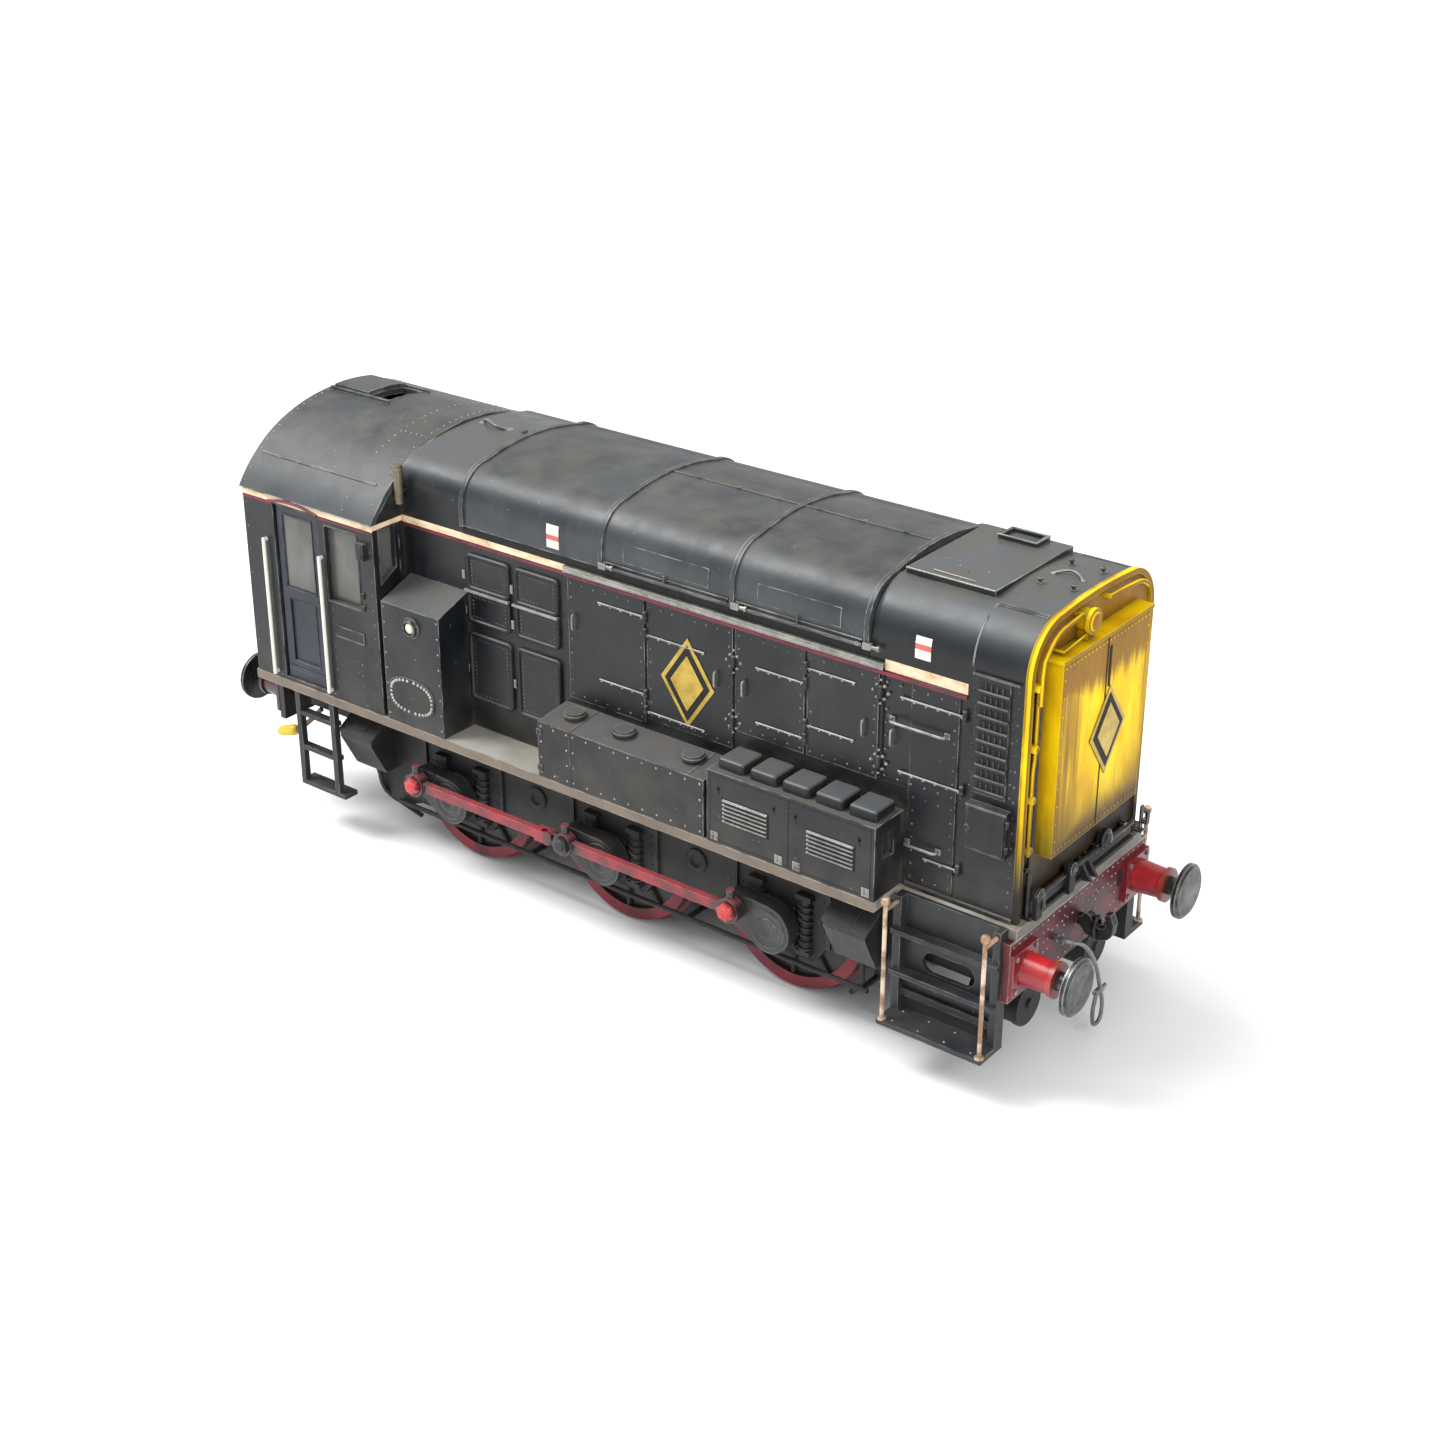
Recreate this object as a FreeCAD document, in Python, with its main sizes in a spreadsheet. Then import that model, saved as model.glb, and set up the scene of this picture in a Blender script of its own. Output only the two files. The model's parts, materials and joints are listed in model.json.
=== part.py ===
import FreeCAD, Part

import math
import os
import Sketcher

# A model six-coupled diesel shunting locomotive with outside frames, in millimetres.
# +X is the radiator end, +Z is up, Y = 0 is the middle plane, and Z = 0 is the foot
# of the wheel flanges. The right-hand side of the locomotive faces -Y.

SIZES = {
    # wheels, axles and cranks
    "axle_front": 41.3, "axle_middle": 1.0, "axle_rear": -39.3, "axle_height": 16.65,
    "axle_radius": 2.0, "running_gap": 0.05, "tread_radius": 15.75, "flange_radius": 16.65,
    "rim_radius": 13.4, "hub_radius": 3.6, "wheel_inside": 14.5, "wheel_outside": 17.7,
    "flange_width": 0.8, "web_inside": 15.4, "web_outside": 16.7, "crank_inside": 22.6,
    "crank_outside": 25.8, "crank_throw": 7.66, "crank_big": 4.9, "crank_small": 2.9,
    "crankpin_radius": 1.3, "crankpin_end": 28.6, "crankpin_nut": 1.8, "nut_end": 29.3,
    # coupling rods
    "rod_inside": 26.1, "rod_outside": 28.4, "rod_eye": 2.5, "rod_middle_eye": 2.3,
    "rod_bar_half": 1.0, "rod_bar_inset": 0.5, "knuckle_reach": 4.0, "knuckle_radius": 1.4,
    "knuckle_pin": 0.6, "tongue_inside": 26.9, "tongue_outside": 27.6, "fork_slot": 0.3,
    "oil_box_radius": 0.8, "oil_box_height": 1.7,
    # chassis block, keeper plate and screws
    "block_rear": -60.0, "block_front": 70.0, "block_half": 11.0, "block_bottom": 12.5,
    "keeper_bottom": 11.1, "keeper_half": 10.0, "boss_play": 0.15,
    "screw_radius": 0.95, "screw_play": 0.05, "screw_head": 1.6, "screw_head_depth": 1.2,
    # motor, worm and gear
    "shaft_height": 28.65, "motor_radius": 8.8, "motor_rear": -38.0, "motor_front": -10.0,
    "motor_wall": 1.2, "shaft_radius": 1.2, "shaft_rear": -48.5, "shaft_front": 11.5,
    "armature_radius": 6.4, "armature_play": 3.0, "flywheel_radius": 8.0, "flywheel_rear": -47.5,
    "flywheel_front": -41.0, "gear_teeth": 30.0, "gear_pitch_radius": 8.6, "gear_root": 7.85,
    "gear_tip": 9.1, "gear_half": 1.2, "worm_core": 2.7, "worm_tip": 3.9, "worm_rear": -6.6,
    "worm_front": 7.6, "pit_rear": -8.0, "pit_front": 9.6, "trough_rear": -50.0,
    # frame plates, footplate and beams
    "frame_inside": 19.0, "frame_outside": 20.8, "footplate_bottom": 31.2, "footplate_top": 33.2,
    "footplate_half": 29.3, "footplate_narrow": 22.2, "recess_rear": 66.7, "beam_face": 91.0,
    "beam_thickness": 1.5, "beam_half": 24.0, "beam_bottom": 19.6, "frame_end": 84.5,
    "horn_bottom": 10.0, "frame_belly": 14.0, "horn_half": 7.3, "axlebox_half": 3.4,
    "axlebox_face": 21.9, "spring_offset": 5.4, "spring_radius": 1.2, "wheel_well": 9.0,
    # buffers
    "buffer_side": 20.0, "buffer_height": 25.2, "buffer_reach": 102.5, "head_radius": 5.25,
    "head_thickness": 1.3, "head_shank": 1.7, "head_shoulder": 96.0, "stem_radius": 0.8,
    "stem_end": 88.0, "stem_nut": 1.4, "housing_plate": 4.1, "housing_plate_depth": 0.9,
    "housing_end": 98.4, "housing_root": 3.2, "housing_tip": 2.8, "housing_ring": 3.3, "chamber_radius": 2.2,
    "chamber_end": 96.4, "coil_radius": 1.45, "coil_wire": 0.22,
    # drawhooks
    "hook_half": 0.8, "hook_nut_half": 1.8, "hook_tail": 84.0, "hook_play": 0.15,
    # cab
    "cab_rear": -90.6, "cab_front": -52.9, "cab_half": 29.1, "cab_wall": 1.2, "eave": 74.3,
    "roof_half": 29.5, "roof_knuckle": 14.0, "roof_knuckle_height": 86.5, "roof_side_radius": 30.0,
    "roof_crown_radius": 42.0, "roof_skin": 1.2, "roof_rear": -91.2, "roof_front": -52.9,
    "door_rear": -81.8, "door_front": -68.9, "door_sill": 34.0, "door_head": 72.6,
    "door_gap": 0.3, "door_thickness": 0.8, "door_set_in": 0.45, "door_axis": -81.1,
    "door_pin": 0.25, "door_pin_foot": 33.5, "door_pin_top": 73.1, "hatch_rear": -89.7,
    "hatch_front": -79.8, "hatch_right": -2.6, "hatch_left": 8.0, "hatch_lift": 0.3,
    "hatch_skin": 0.6, "window_rear": -66.8, "window_front": -57.3, "window_sill": 55.1,
    "window_head": 71.4, "glass": 0.8, "glass_lap": 0.8, "floor_top": 33.9,
    # bonnet
    "bonnet_half": 20.7, "bonnet_wall": 1.2, "cover_rear": -36.8, "cover_front": 59.1,
    "nose_face": 89.0, "cover_foot": 76.0, "cover_half": 21.0, "cover_gap": 0.3,
    "rear_spring": 80.9, "rear_shoulder": 5.5, "rear_rise": 2.0, "cover_spring": 79.9,
    "cover_shoulder": 7.4, "cover_rise": 1.7, "nose_spring": 78.5, "nose_shoulder": 9.0,
    "nose_rise": 0.6, "bead_width": 1.0, "bead_height": 0.4, "door_skin": 0.35,
    # radiator end
    "radiator_half": 15.0, "radiator_bottom": 44.4, "radiator_top": 80.4, "radiator_face": 92.6,
    "nose_plate": 0.5, "nose_bead": 1.1,
    # boxes on the footplate
    "box_side": 29.3, "tall_rear": -51.5, "tall_front": -35.8, "tall_outer": 59.0,
    "tall_inner": 62.2, "tank_rear": -10.6, "tank_front": 29.4, "tank_outer": 44.9,
    "tank_inner": 45.9, "tank_cap": 2.0, "battery_rear": 30.2, "battery_front": 66.6,
    "battery_top": 47.7, "pad_top": 49.8, "pad_length": 5.8, "pad_pitch": 7.1, "pad_first": 34.4,
    # steps, handrails and running gear details
    "step_rear": 67.9, "step_front": 89.4, "step_tread": 10.2, "step_tread_bottom": 9.2,
    "ladder_rear": -79.8, "ladder_front": -68.2, "ladder_bottom": 9.9, "rail_radius": 0.4,
    "rail_side": 30.0, "brake_rod_height": 9.0, "brake_rod_side": 21.6, "brake_rod_radius": 0.5,
    "hanger_near": 17.8, "hanger_far": 19.0, "block_inner_radius": 16.15,
    "block_outer_radius": 18.0, "hose_radius": 0.38, "vessel_rear": 78.5, "vessel_front": 88.6,
    "vessel_side": 12.0, "vessel_height": 12.6, "vessel_radius": 4.2,
}

RIGHT_CRANK_ANGLE = 162.5
LEFT_CRANK_ANGLE = RIGHT_CRANK_ANGLE - 90.0
AXLES = ("rear", "middle", "front")
RIGHT, LEFT = -1, 1
SCREWS = ((-55.0, 32.6), (-24.0, 18.3), (24.0, 26.0), (65.0, 32.6))

doc = FreeCAD.newDocument("shunter")


class Size:
    """A length with both its number and the sheet expression that gives it."""

    def __init__(self, number, text=None):
        self.number = float(number)
        self.text = text if text else "(%r)" % float(number)

    def combine(self, other, sign, number):
        return Size(number, "(%s %s %s)" % (self.text, sign, as_size(other).text))

    def __add__(self, other):
        return self.combine(other, "+", self.number + as_size(other).number)

    def __sub__(self, other):
        return self.combine(other, "-", self.number - as_size(other).number)

    def __mul__(self, other):
        return self.combine(other, "*", self.number * as_size(other).number)

    def __truediv__(self, other):
        return self.combine(other, "/", self.number / as_size(other).number)

    def __radd__(self, other):
        return as_size(other) + self

    def __rsub__(self, other):
        return as_size(other) - self

    def __rmul__(self, other):
        return as_size(other) * self

    def __neg__(self):
        return as_size(-1) * self


class Book:
    """Gives every size in the sheet as an attribute."""

    def __getattr__(self, name):
        return Size(SIZES[name], "sizes." + name)


def as_size(value):
    return value if isinstance(value, Size) else Size(value)


def make_sheet():
    sheet = doc.addObject("Spreadsheet::Sheet", "sizes")
    for row, (name, value) in enumerate(SIZES.items(), start=1):
        sheet.set("A%d" % row, name)
        sheet.set("B%d" % row, str(value))
        sheet.setAlias("B%d" % row, name)
    doc.recompute()


make_sheet()
S = Book()


# ---------------------------------------------------------------- building blocks

def bind(item, prop, size):
    item.setExpression(prop, as_size(size).text)


def move(item, x, y, z):
    for axis, size in zip("xyz", (x, y, z)):
        bind(item, "Placement.Base." + axis, size)
    return item


def box(name, xs, ys, zs):
    item = doc.addObject("Part::Box", name)
    for prop, (low, high) in zip(("Length", "Width", "Height"), (xs, ys, zs)):
        bind(item, prop, as_size(high) - low)
    return move(item, xs[0], ys[0], zs[0])


def turned(axis):
    """The rotation that lays a primitive's own Z along the given axis."""
    return {"X": FreeCAD.Rotation(FreeCAD.Vector(0, 1, 0), 90),
            "Y": FreeCAD.Rotation(FreeCAD.Vector(1, 0, 0), -90),
            "Z": FreeCAD.Rotation()}[axis]


def rod(name, axis, radius, span, across):
    """A cylinder along an axis over span, with its centre at the two across sizes."""
    item = doc.addObject("Part::Cylinder", name)
    item.Placement = FreeCAD.Placement(FreeCAD.Vector(), turned(axis))
    bind(item, "Radius", radius)
    bind(item, "Height", as_size(span[1]) - span[0])
    return place_along(item, axis, span[0], across)


def taper(name, axis, radii, span, across):
    item = doc.addObject("Part::Cone", name)
    item.Placement = FreeCAD.Placement(FreeCAD.Vector(), turned(axis))
    bind(item, "Radius1", radii[0])
    bind(item, "Radius2", radii[1])
    bind(item, "Height", as_size(span[1]) - span[0])
    return place_along(item, axis, span[0], across)


def ball(name, radius, centre):
    item = doc.addObject("Part::Sphere", name)
    bind(item, "Radius", radius)
    return move(item, *centre)


def place_along(item, axis, start, across):
    spots = list(across)
    spots.insert("XYZ".index(axis), start)
    return move(item, *spots)


def origin_plane(body, role):
    return next(item for item in body.Origin.OriginFeatures if item.Role == role)


def hold_point(sketch, geometry, end, point):
    """Ties one sketch point to its two sheet sizes."""
    for kind, size, axis in (("DistanceX", point[0], -2), ("DistanceY", point[1], -1)):
        size = as_size(size)
        if size.number == 0.0:
            sketch.addConstraint(Sketcher.Constraint("PointOnObject", geometry, end, axis))
            continue
        index = sketch.addConstraint(Sketcher.Constraint(kind, -1, 1, geometry, end, size.number))
        bind(sketch, "Constraints[%d]" % index, size)


def arc_between(start, end, radius):
    """The minor arc from start to end: anticlockwise for a positive radius."""
    middle = (start + end) * 0.5
    chord = end - start
    left = FreeCAD.Vector(-chord.y, chord.x, 0).normalize()
    rise = math.sqrt(radius * radius - chord.Length * chord.Length / 4)
    centre = middle + left * math.copysign(rise, radius)
    first, last = (start, end) if radius > 0 else (end, start)
    angles = [math.atan2(point.y - centre.y, point.x - centre.x) for point in (first, last)]
    circle = Part.Circle(centre, FreeCAD.Vector(0, 0, 1), abs(radius))
    return Part.ArcOfCircle(circle, angles[0], angles[1])


def draw_loop(sketch, points):
    """A closed loop; a point's third entry is the radius of the arc that reaches it."""
    ends = []
    for index, start in enumerate(points):
        finish = points[(index + 1) % len(points)]
        first, last = [FreeCAD.Vector(as_size(p[0]).number, as_size(p[1]).number, 0)
                       for p in (start, finish)]
        if len(finish) == 2:
            geometry = sketch.addGeometry(Part.LineSegment(first, last), False)
            ends.append((geometry, 1, 2))
            continue
        radius = as_size(finish[2])
        geometry = sketch.addGeometry(arc_between(first, last, radius.number), False)
        ends.append((geometry, 1, 2) if radius.number > 0 else (geometry, 2, 1))
        size = radius if radius.number > 0 else -radius
        mark = sketch.addConstraint(Sketcher.Constraint("Radius", geometry, size.number))
        bind(sketch, "Constraints[%d]" % mark, size)
    for index, (geometry, start, end) in enumerate(ends):
        after = ends[(index + 1) % len(ends)]
        sketch.addConstraint(Sketcher.Constraint("Coincident", geometry, end, after[0], after[1]))
        hold_point(sketch, geometry, start, points[index])


def prism(name, plane, outline, span, holes=()):
    """A body whose sketch, on its own YZ, XZ or XY plane, is padded across the span."""
    body = doc.addObject("PartDesign::Body", name)
    sketch = body.newObject("Sketcher::SketchObject", name + "_sketch")
    sketch.AttachmentSupport = (origin_plane(body, plane + "_Plane"), [""])
    sketch.MapMode = "FlatFace"
    for loop in (outline,) + tuple(holes):
        draw_loop(sketch, loop)
    pad = body.newObject("PartDesign::Pad", name + "_pad")
    pad.Profile = sketch
    bind(pad, "Length", as_size(span[1]) - span[0])
    axis, start = {"YZ": ("x", span[0]), "XZ": ("y", span[1]), "XY": ("z", span[0])}[plane]
    bind(body, "Placement.Base." + axis, start)
    body.Tip = pad
    return body


def join(name, *items):
    item = doc.addObject("Part::MultiFuse", name)
    item.Shapes = list(items)
    item.Refine = True
    return item


def cut(name, base, *tools):
    item = doc.addObject("Part::Cut", name)
    item.Base = base
    item.Tool = tools[0] if len(tools) == 1 else join(name + "_tools", *tools)
    return item


def common(name, first, second):
    item = doc.addObject("Part::Common", name)
    item.Base = first
    item.Tool = second
    return item


def mirror(name, source, normal):
    item = doc.addObject("Part::Mirroring", name)
    item.Source = source
    item.Normal = FreeCAD.Vector(*normal)
    return item


def other_side(source):
    return mirror(source.Name + "_left", source, (0, 1, 0))


def other_end(source):
    return mirror(source.Name + "_rear", source, (1, 0, 0))


def group(name, *items):
    item = doc.addObject("Part::Compound", name)
    item.Links = list(items)
    return item


def both_sides(name, source):
    return group(name, source, other_side(source))


def solid(name, shape, base=(0, 0, 0), axis="Z"):
    """A shape modelled round its own Z axis, laid along an axis at a base point."""
    item = doc.addObject("Part::Feature", name)
    item.Shape = shape
    item.Placement = FreeCAD.Placement(FreeCAD.Vector(*base), turned(axis))
    return item


def side_span(side, inner, outer):
    """The Y span of something between two distances from the middle plane."""
    return (inner, outer) if side == LEFT else (-as_size(outer), -as_size(inner))


def axle_at(axle):
    return getattr(S, "axle_" + axle)


def pin_at(axle, side):
    angle = math.radians(RIGHT_CRANK_ANGLE if side == RIGHT else LEFT_CRANK_ANGLE)
    return axle_at(axle) + S.crank_throw * math.cos(angle), \
        S.axle_height + S.crank_throw * math.sin(angle)


# ---------------------------------------------------------------- wheelsets

def make_axle(axle):
    span = (-S.crank_outside, S.crank_outside)
    return rod("axle_" + axle, "Y", S.axle_radius, span, (axle_at(axle), S.axle_height))


def make_wheels(axle):
    name = "wheels_" + axle
    centre = (axle_at(axle), S.axle_height)
    inside, outside = -S.wheel_outside, -S.wheel_inside
    disc = join(name + "_disc",
                rod(name + "_tread", "Y", S.tread_radius, (inside, outside), centre),
                rod(name + "_flange", "Y", S.flange_radius,
                    (outside - S.flange_width, outside), centre))
    dish = rod(name + "_dish", "Y", S.rim_radius, (inside, -S.web_outside), centre)
    back = rod(name + "_back", "Y", S.rim_radius, (-S.web_inside, outside), centre)
    rim = cut(name + "_rim", disc, dish, back)
    hub = rod(name + "_hub", "Y", S.hub_radius, (inside - 0.4, outside), centre)
    bore = rod(name + "_bore", "Y", S.axle_radius, (inside - 1, outside + 1), centre)
    wheel = cut(name + "_wheel", join(name + "_body", rim, hub), bore)
    return both_sides(name, wheel)


def make_crank(axle, side):
    name = "crank_%s_%s" % (axle, "right" if side == RIGHT else "left")
    ax, az = axle_at(axle), S.axle_height
    px, pz = pin_at(axle, side)
    web = side_span(side, S.crank_inside, S.crank_outside)
    big = rod(name + "_big", "Y", S.crank_big, web, (ax, az))
    small = rod(name + "_small", "Y", S.crank_small, web, (px, pz))
    flank = crank_flank(name + "_flank", (ax, az), (px, pz), web)
    pin = rod(name + "_pin", "Y", S.crankpin_radius,
              side_span(side, S.crank_inside, S.crankpin_end), (px, pz))
    nut = doc.addObject("Part::Prism", name + "_nut")
    nut.Polygon = 6
    nut.Placement = FreeCAD.Placement(FreeCAD.Vector(), turned("Y"))
    low, high = side_span(side, S.crankpin_end, S.nut_end)
    bind(nut, "Circumradius", S.crankpin_nut)
    bind(nut, "Height", high - low)
    place_along(nut, "Y", low, (px, pz))
    bore = rod(name + "_bore", "Y", S.axle_radius,
               side_span(side, S.crank_inside - 1, S.crank_outside + 0.01), (ax, az))
    return cut(name, join(name + "_body", big, small, flank, pin, nut), bore)


def crank_flank(name, centre, pin, web):
    """The straight-sided web that joins the crank's big and small ends."""
    dx, dz = (pin[0] - centre[0]).number, (pin[1] - centre[1]).number
    length = math.hypot(dx, dz)
    lean = math.asin((SIZES["crank_big"] - SIZES["crank_small"]) / length)
    along = math.atan2(dz, dx)
    corners = []
    for point, radius, turn in ((centre, S.crank_big, 1), (pin, S.crank_small, 1),
                                (pin, S.crank_small, -1), (centre, S.crank_big, -1)):
        angle = along + turn * (math.pi / 2 - lean)
        corners.append((point[0] + radius * math.cos(angle), point[1] + radius * math.sin(angle)))
    return prism(name, "XZ", corners, web)


def make_cranks(axle):
    return group("cranks_" + axle, make_crank(axle, RIGHT), make_crank(axle, LEFT))


# ---------------------------------------------------------------- coupling rods

def rod_eye(name, side, radius, pin):
    span = side_span(side, S.rod_inside, S.rod_outside)
    ring = rod(name + "_ring", "Y", radius, span, pin)
    middle = (span[0] + span[1]) / 2
    oil = rod(name + "_oil", "Z", S.oil_box_radius,
              (pin[1] + 1.6, pin[1] + radius + S.oil_box_height), (pin[0], middle))
    return [ring, oil]


def rod_bore(name, side, pin, radius):
    span = side_span(side, S.rod_inside - 1, S.rod_outside + 1)
    return rod(name, "Y", radius, span, pin)


def rod_bar(name, side, start, end, height):
    span = side_span(side, S.rod_inside + S.rod_bar_inset, S.rod_outside - S.rod_bar_inset)
    return box(name, (start, end), span, (height - S.rod_bar_half, height + S.rod_bar_half))


def make_front_rod(side):
    name = "rod_front_" + ("right" if side == RIGHT else "left")
    front, middle = pin_at("front", side), pin_at("middle", side)
    knuckle = (middle[0] - S.knuckle_reach, middle[1])
    tongue = side_span(side, S.tongue_inside, S.tongue_outside)
    pieces = rod_eye(name + "_front", side, S.rod_eye, front)
    pieces += rod_eye(name + "_middle", side, S.rod_middle_eye, middle)
    pieces.append(rod_bar(name + "_bar", side, middle[0] + 1, front[0] - 1, front[1]))
    pieces.append(box(name + "_neck", (knuckle[0], middle[0]), tongue,
                      (middle[1] - 1.1, middle[1] + 1.1)))
    pieces.append(rod(name + "_tongue", "Y", S.knuckle_radius, tongue, knuckle))
    play = S.crankpin_radius + S.running_gap + 0.01
    return cut(name, join(name + "_body", *pieces),
               rod_bore(name + "_bore_front", side, front, play),
               rod_bore(name + "_bore_middle", side, middle, play),
               rod_bore(name + "_bore_knuckle", side, knuckle, S.knuckle_pin + 0.1))


def make_rear_rod(side):
    name = "rod_rear_" + ("right" if side == RIGHT else "left")
    rear, middle = pin_at("rear", side), pin_at("middle", side)
    knuckle = (middle[0] - S.knuckle_reach, middle[1])
    width = side_span(side, S.rod_inside, S.rod_outside)
    slot = side_span(side, S.tongue_inside - S.fork_slot, S.tongue_outside + S.fork_slot)
    root = knuckle[0] - 3.2
    cheek = join(name + "_cheeks",
                 rod(name + "_cheek", "Y", S.knuckle_radius, width, knuckle),
                 box(name + "_fork", (root, knuckle[0]), width,
                     (knuckle[1] - 1.2, knuckle[1] + 1.2)))
    fork = cut(name + "_open_fork", cheek,
               box(name + "_slot", (knuckle[0] - 2.0, knuckle[0] + 2.0), slot,
                   (knuckle[1] - 2, knuckle[1] + 2)))
    pin = rod(name + "_pin", "Y", S.knuckle_pin, width, knuckle)
    pieces = rod_eye(name + "_rear", side, S.rod_eye, rear)
    pieces.append(rod_bar(name + "_bar", side, rear[0] + 1, root + 0.5, rear[1]))
    bored = cut(name + "_bored", join(name + "_body", *pieces),
                rod_bore(name + "_bore", side, rear, S.crankpin_radius + S.running_gap + 0.01))
    return join(name, bored, fork, pin)


# ---------------------------------------------------------------- chassis

def screw_holes(name, bottom, top):
    return [rod("%s_screw_%d" % (name, index), "Z", S.screw_radius + S.screw_play,
                (bottom, min(as_size(top).number, tip + 0.3)), (x, 0))
            for index, (x, tip) in enumerate(SCREWS)]


def make_chassis_block():
    name = "chassis_block"
    body = box(name + "_body", (S.block_rear, S.block_front), (-S.block_half, S.block_half),
               (S.block_bottom, S.footplate_bottom))
    trough = S.motor_radius + S.running_gap
    tools = [rod(name + "_trough", "X", trough, (S.trough_rear, S.pit_rear), (0, S.shaft_height)),
             box(name + "_mouth", (S.trough_rear, S.pit_rear), (-trough, trough),
                 (S.shaft_height, 40)),
             box(name + "_pit", (S.pit_rear - 1, S.pit_front), (-5, 5), (22, 40)),
             box(name + "_well", (S.axle_middle - 10.2, S.axle_middle + 10.2), (-2.5, 2.5),
                 (S.block_bottom - 1, 40)),
             rod(name + "_bearing", "X", S.shaft_radius + S.running_gap,
                 (S.pit_front - 1, S.shaft_front + 0.5), (0, S.shaft_height))]
    for axle in AXLES:
        across = (axle_at(axle), S.axle_height)
        bore = S.axle_radius + S.running_gap
        tools.append(rod(name + "_bore_" + axle, "Y", bore, (-12, 12), across))
        tools.append(box(name + "_slot_" + axle, (across[0] - bore, across[0] + bore), (-12, 12),
                         (S.block_bottom - 1, S.axle_height)))
    tools += screw_holes(name, S.block_bottom - 1, 40)
    return cut(name, body, *tools)


def make_keeper_plate():
    name = "keeper_plate"
    pieces = [box(name + "_body", (-58, 68), (-S.keeper_half, S.keeper_half),
                  (S.keeper_bottom, S.block_bottom))]
    for axle in AXLES:
        reach = S.axle_radius + S.running_gap - S.boss_play
        pieces.append(box(name + "_boss_" + axle, (axle_at(axle) - reach, axle_at(axle) + reach),
                          (-S.keeper_half, S.keeper_half),
                          (S.block_bottom - 1, S.axle_height - S.axle_radius - S.boss_play)))
    gear_slot = box(name + "_gear_slot", (S.axle_middle - 8.6, S.axle_middle + 8.6), (-2.5, 2.5),
                    (S.keeper_bottom - 1, 20))
    return cut(name, join(name + "_solid", *pieces), gear_slot,
               *screw_holes(name, S.keeper_bottom - 1, 14))


def make_body_screws():
    screws = []
    for index, (x, tip) in enumerate(SCREWS):
        name = "body_screws_%d" % index
        shank = rod(name + "_shank", "Z", S.screw_radius, (S.keeper_bottom - 0.5, tip), (x, 0))
        head = rod(name + "_head", "Z", S.screw_head,
                   (S.keeper_bottom - S.screw_head_depth, S.keeper_bottom), (x, 0))
        driver_slot = box(name + "_slot", (x - 2, x + 2), (-0.2, 0.2),
                          (S.keeper_bottom - S.screw_head_depth - 1,
                           S.keeper_bottom - S.screw_head_depth + 0.5))
        screws.append(cut(name, join(name + "_body", shank, head), driver_slot))
    return group("body_screws", *screws)


def frame_outline():
    """The side frame: deep round each axle, shallow between them and at the ends."""
    belly, horn = S.frame_belly, S.horn_bottom
    points = [(S.frame_end, S.footplate_bottom), (-S.frame_end, S.footplate_bottom),
              (-S.frame_end, 23.5), (-68.0, 23.5), (-67.0, 17.0), (-63.5, 9.0), (-57.0, 8.0),
              (-52.0, horn)]
    for index, axle in enumerate(AXLES):
        if index:
            points.append((axle_at(axle) - S.horn_half - 2.7, belly))
            points.append((axle_at(axle) - S.horn_half, horn))
        points.append((axle_at(axle) + S.horn_half, horn))
        points.append((axle_at(axle) + S.horn_half + 2.7, belly))
    end = S.beam_face - S.beam_thickness
    points += [(66.0, belly), (70.0, S.beam_bottom), (end, S.beam_bottom), (end, 22.5),
               (S.frame_end, 22.5)]
    return points


def make_frame_plates():
    name = "frame_plates"
    span = side_span(RIGHT, S.frame_inside, S.frame_outside)
    bore = S.axle_radius + S.running_gap
    plate = prism(name + "_plate", "XZ", frame_outline(), span)
    pieces = [plate]
    for axle in AXLES:
        x = axle_at(axle)
        pieces.append(box(name + "_axlebox_" + axle, (x - S.axlebox_half, x + S.axlebox_half),
                          side_span(RIGHT, S.frame_outside - 0.5, S.axlebox_face), (12.2, 20.6)))
        for way in (-1, 1):
            tag = "%s_%s_%d" % (name, axle, way + 1)
            pieces.append(rod(tag + "_spring", "Z", S.spring_radius, (12.0, 23.2),
                              (x + S.spring_offset * way, -S.frame_outside - 0.3)))
            pieces.append(box(tag + "_rib", (x + 10.6 * way - 0.4, x + 10.6 * way + 0.4),
                              side_span(RIGHT, S.frame_outside - 0.5, S.frame_outside + 0.6),
                              (S.frame_belly, S.footplate_bottom)))
    bores = [rod(name + "_bore_" + axle, "Y", bore,
                 side_span(RIGHT, S.frame_inside - 1, S.axlebox_face + 1),
                 (axle_at(axle), S.axle_height)) for axle in AXLES]
    return both_sides(name, cut(name + "_right", join(name + "_solid", *pieces), *bores))


def make_footplate():
    half, narrow, face = S.footplate_half, S.footplate_narrow, S.beam_face
    outline = [(-face, -half), (S.recess_rear, -half), (S.recess_rear, -narrow), (face, -narrow),
               (face, narrow), (S.recess_rear, narrow), (S.recess_rear, half), (-face, half)]
    opening = [(-49.9, -13.0), (60.0, -13.0), (60.0, 13.0), (-49.9, 13.0)]
    plate = prism("footplate_plate", "XY", outline, (S.footplate_bottom, S.footplate_top),
                  holes=[opening])
    holes = [rod("footplate_hole_%d" % index, "Z", S.screw_radius + S.screw_play,
                 (S.footplate_bottom - 1, S.footplate_top + 1), (x, 0))
             for index, x in enumerate((SCREWS[0][0], SCREWS[3][0]))]
    wells = []
    for axle in AXLES:
        for side in (RIGHT, LEFT):
            span = side_span(side, S.wheel_inside - 0.4, S.wheel_outside + 0.8)
            reach = (axle_at(axle) - S.wheel_well, axle_at(axle) + S.wheel_well)
            wells.append(box("footplate_well_%s_%d" % (axle, side + 1), reach, span,
                             (S.footplate_bottom - 1, S.footplate_top + 1)))
    return cut("footplate", plate, *(holes + wells))


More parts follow.
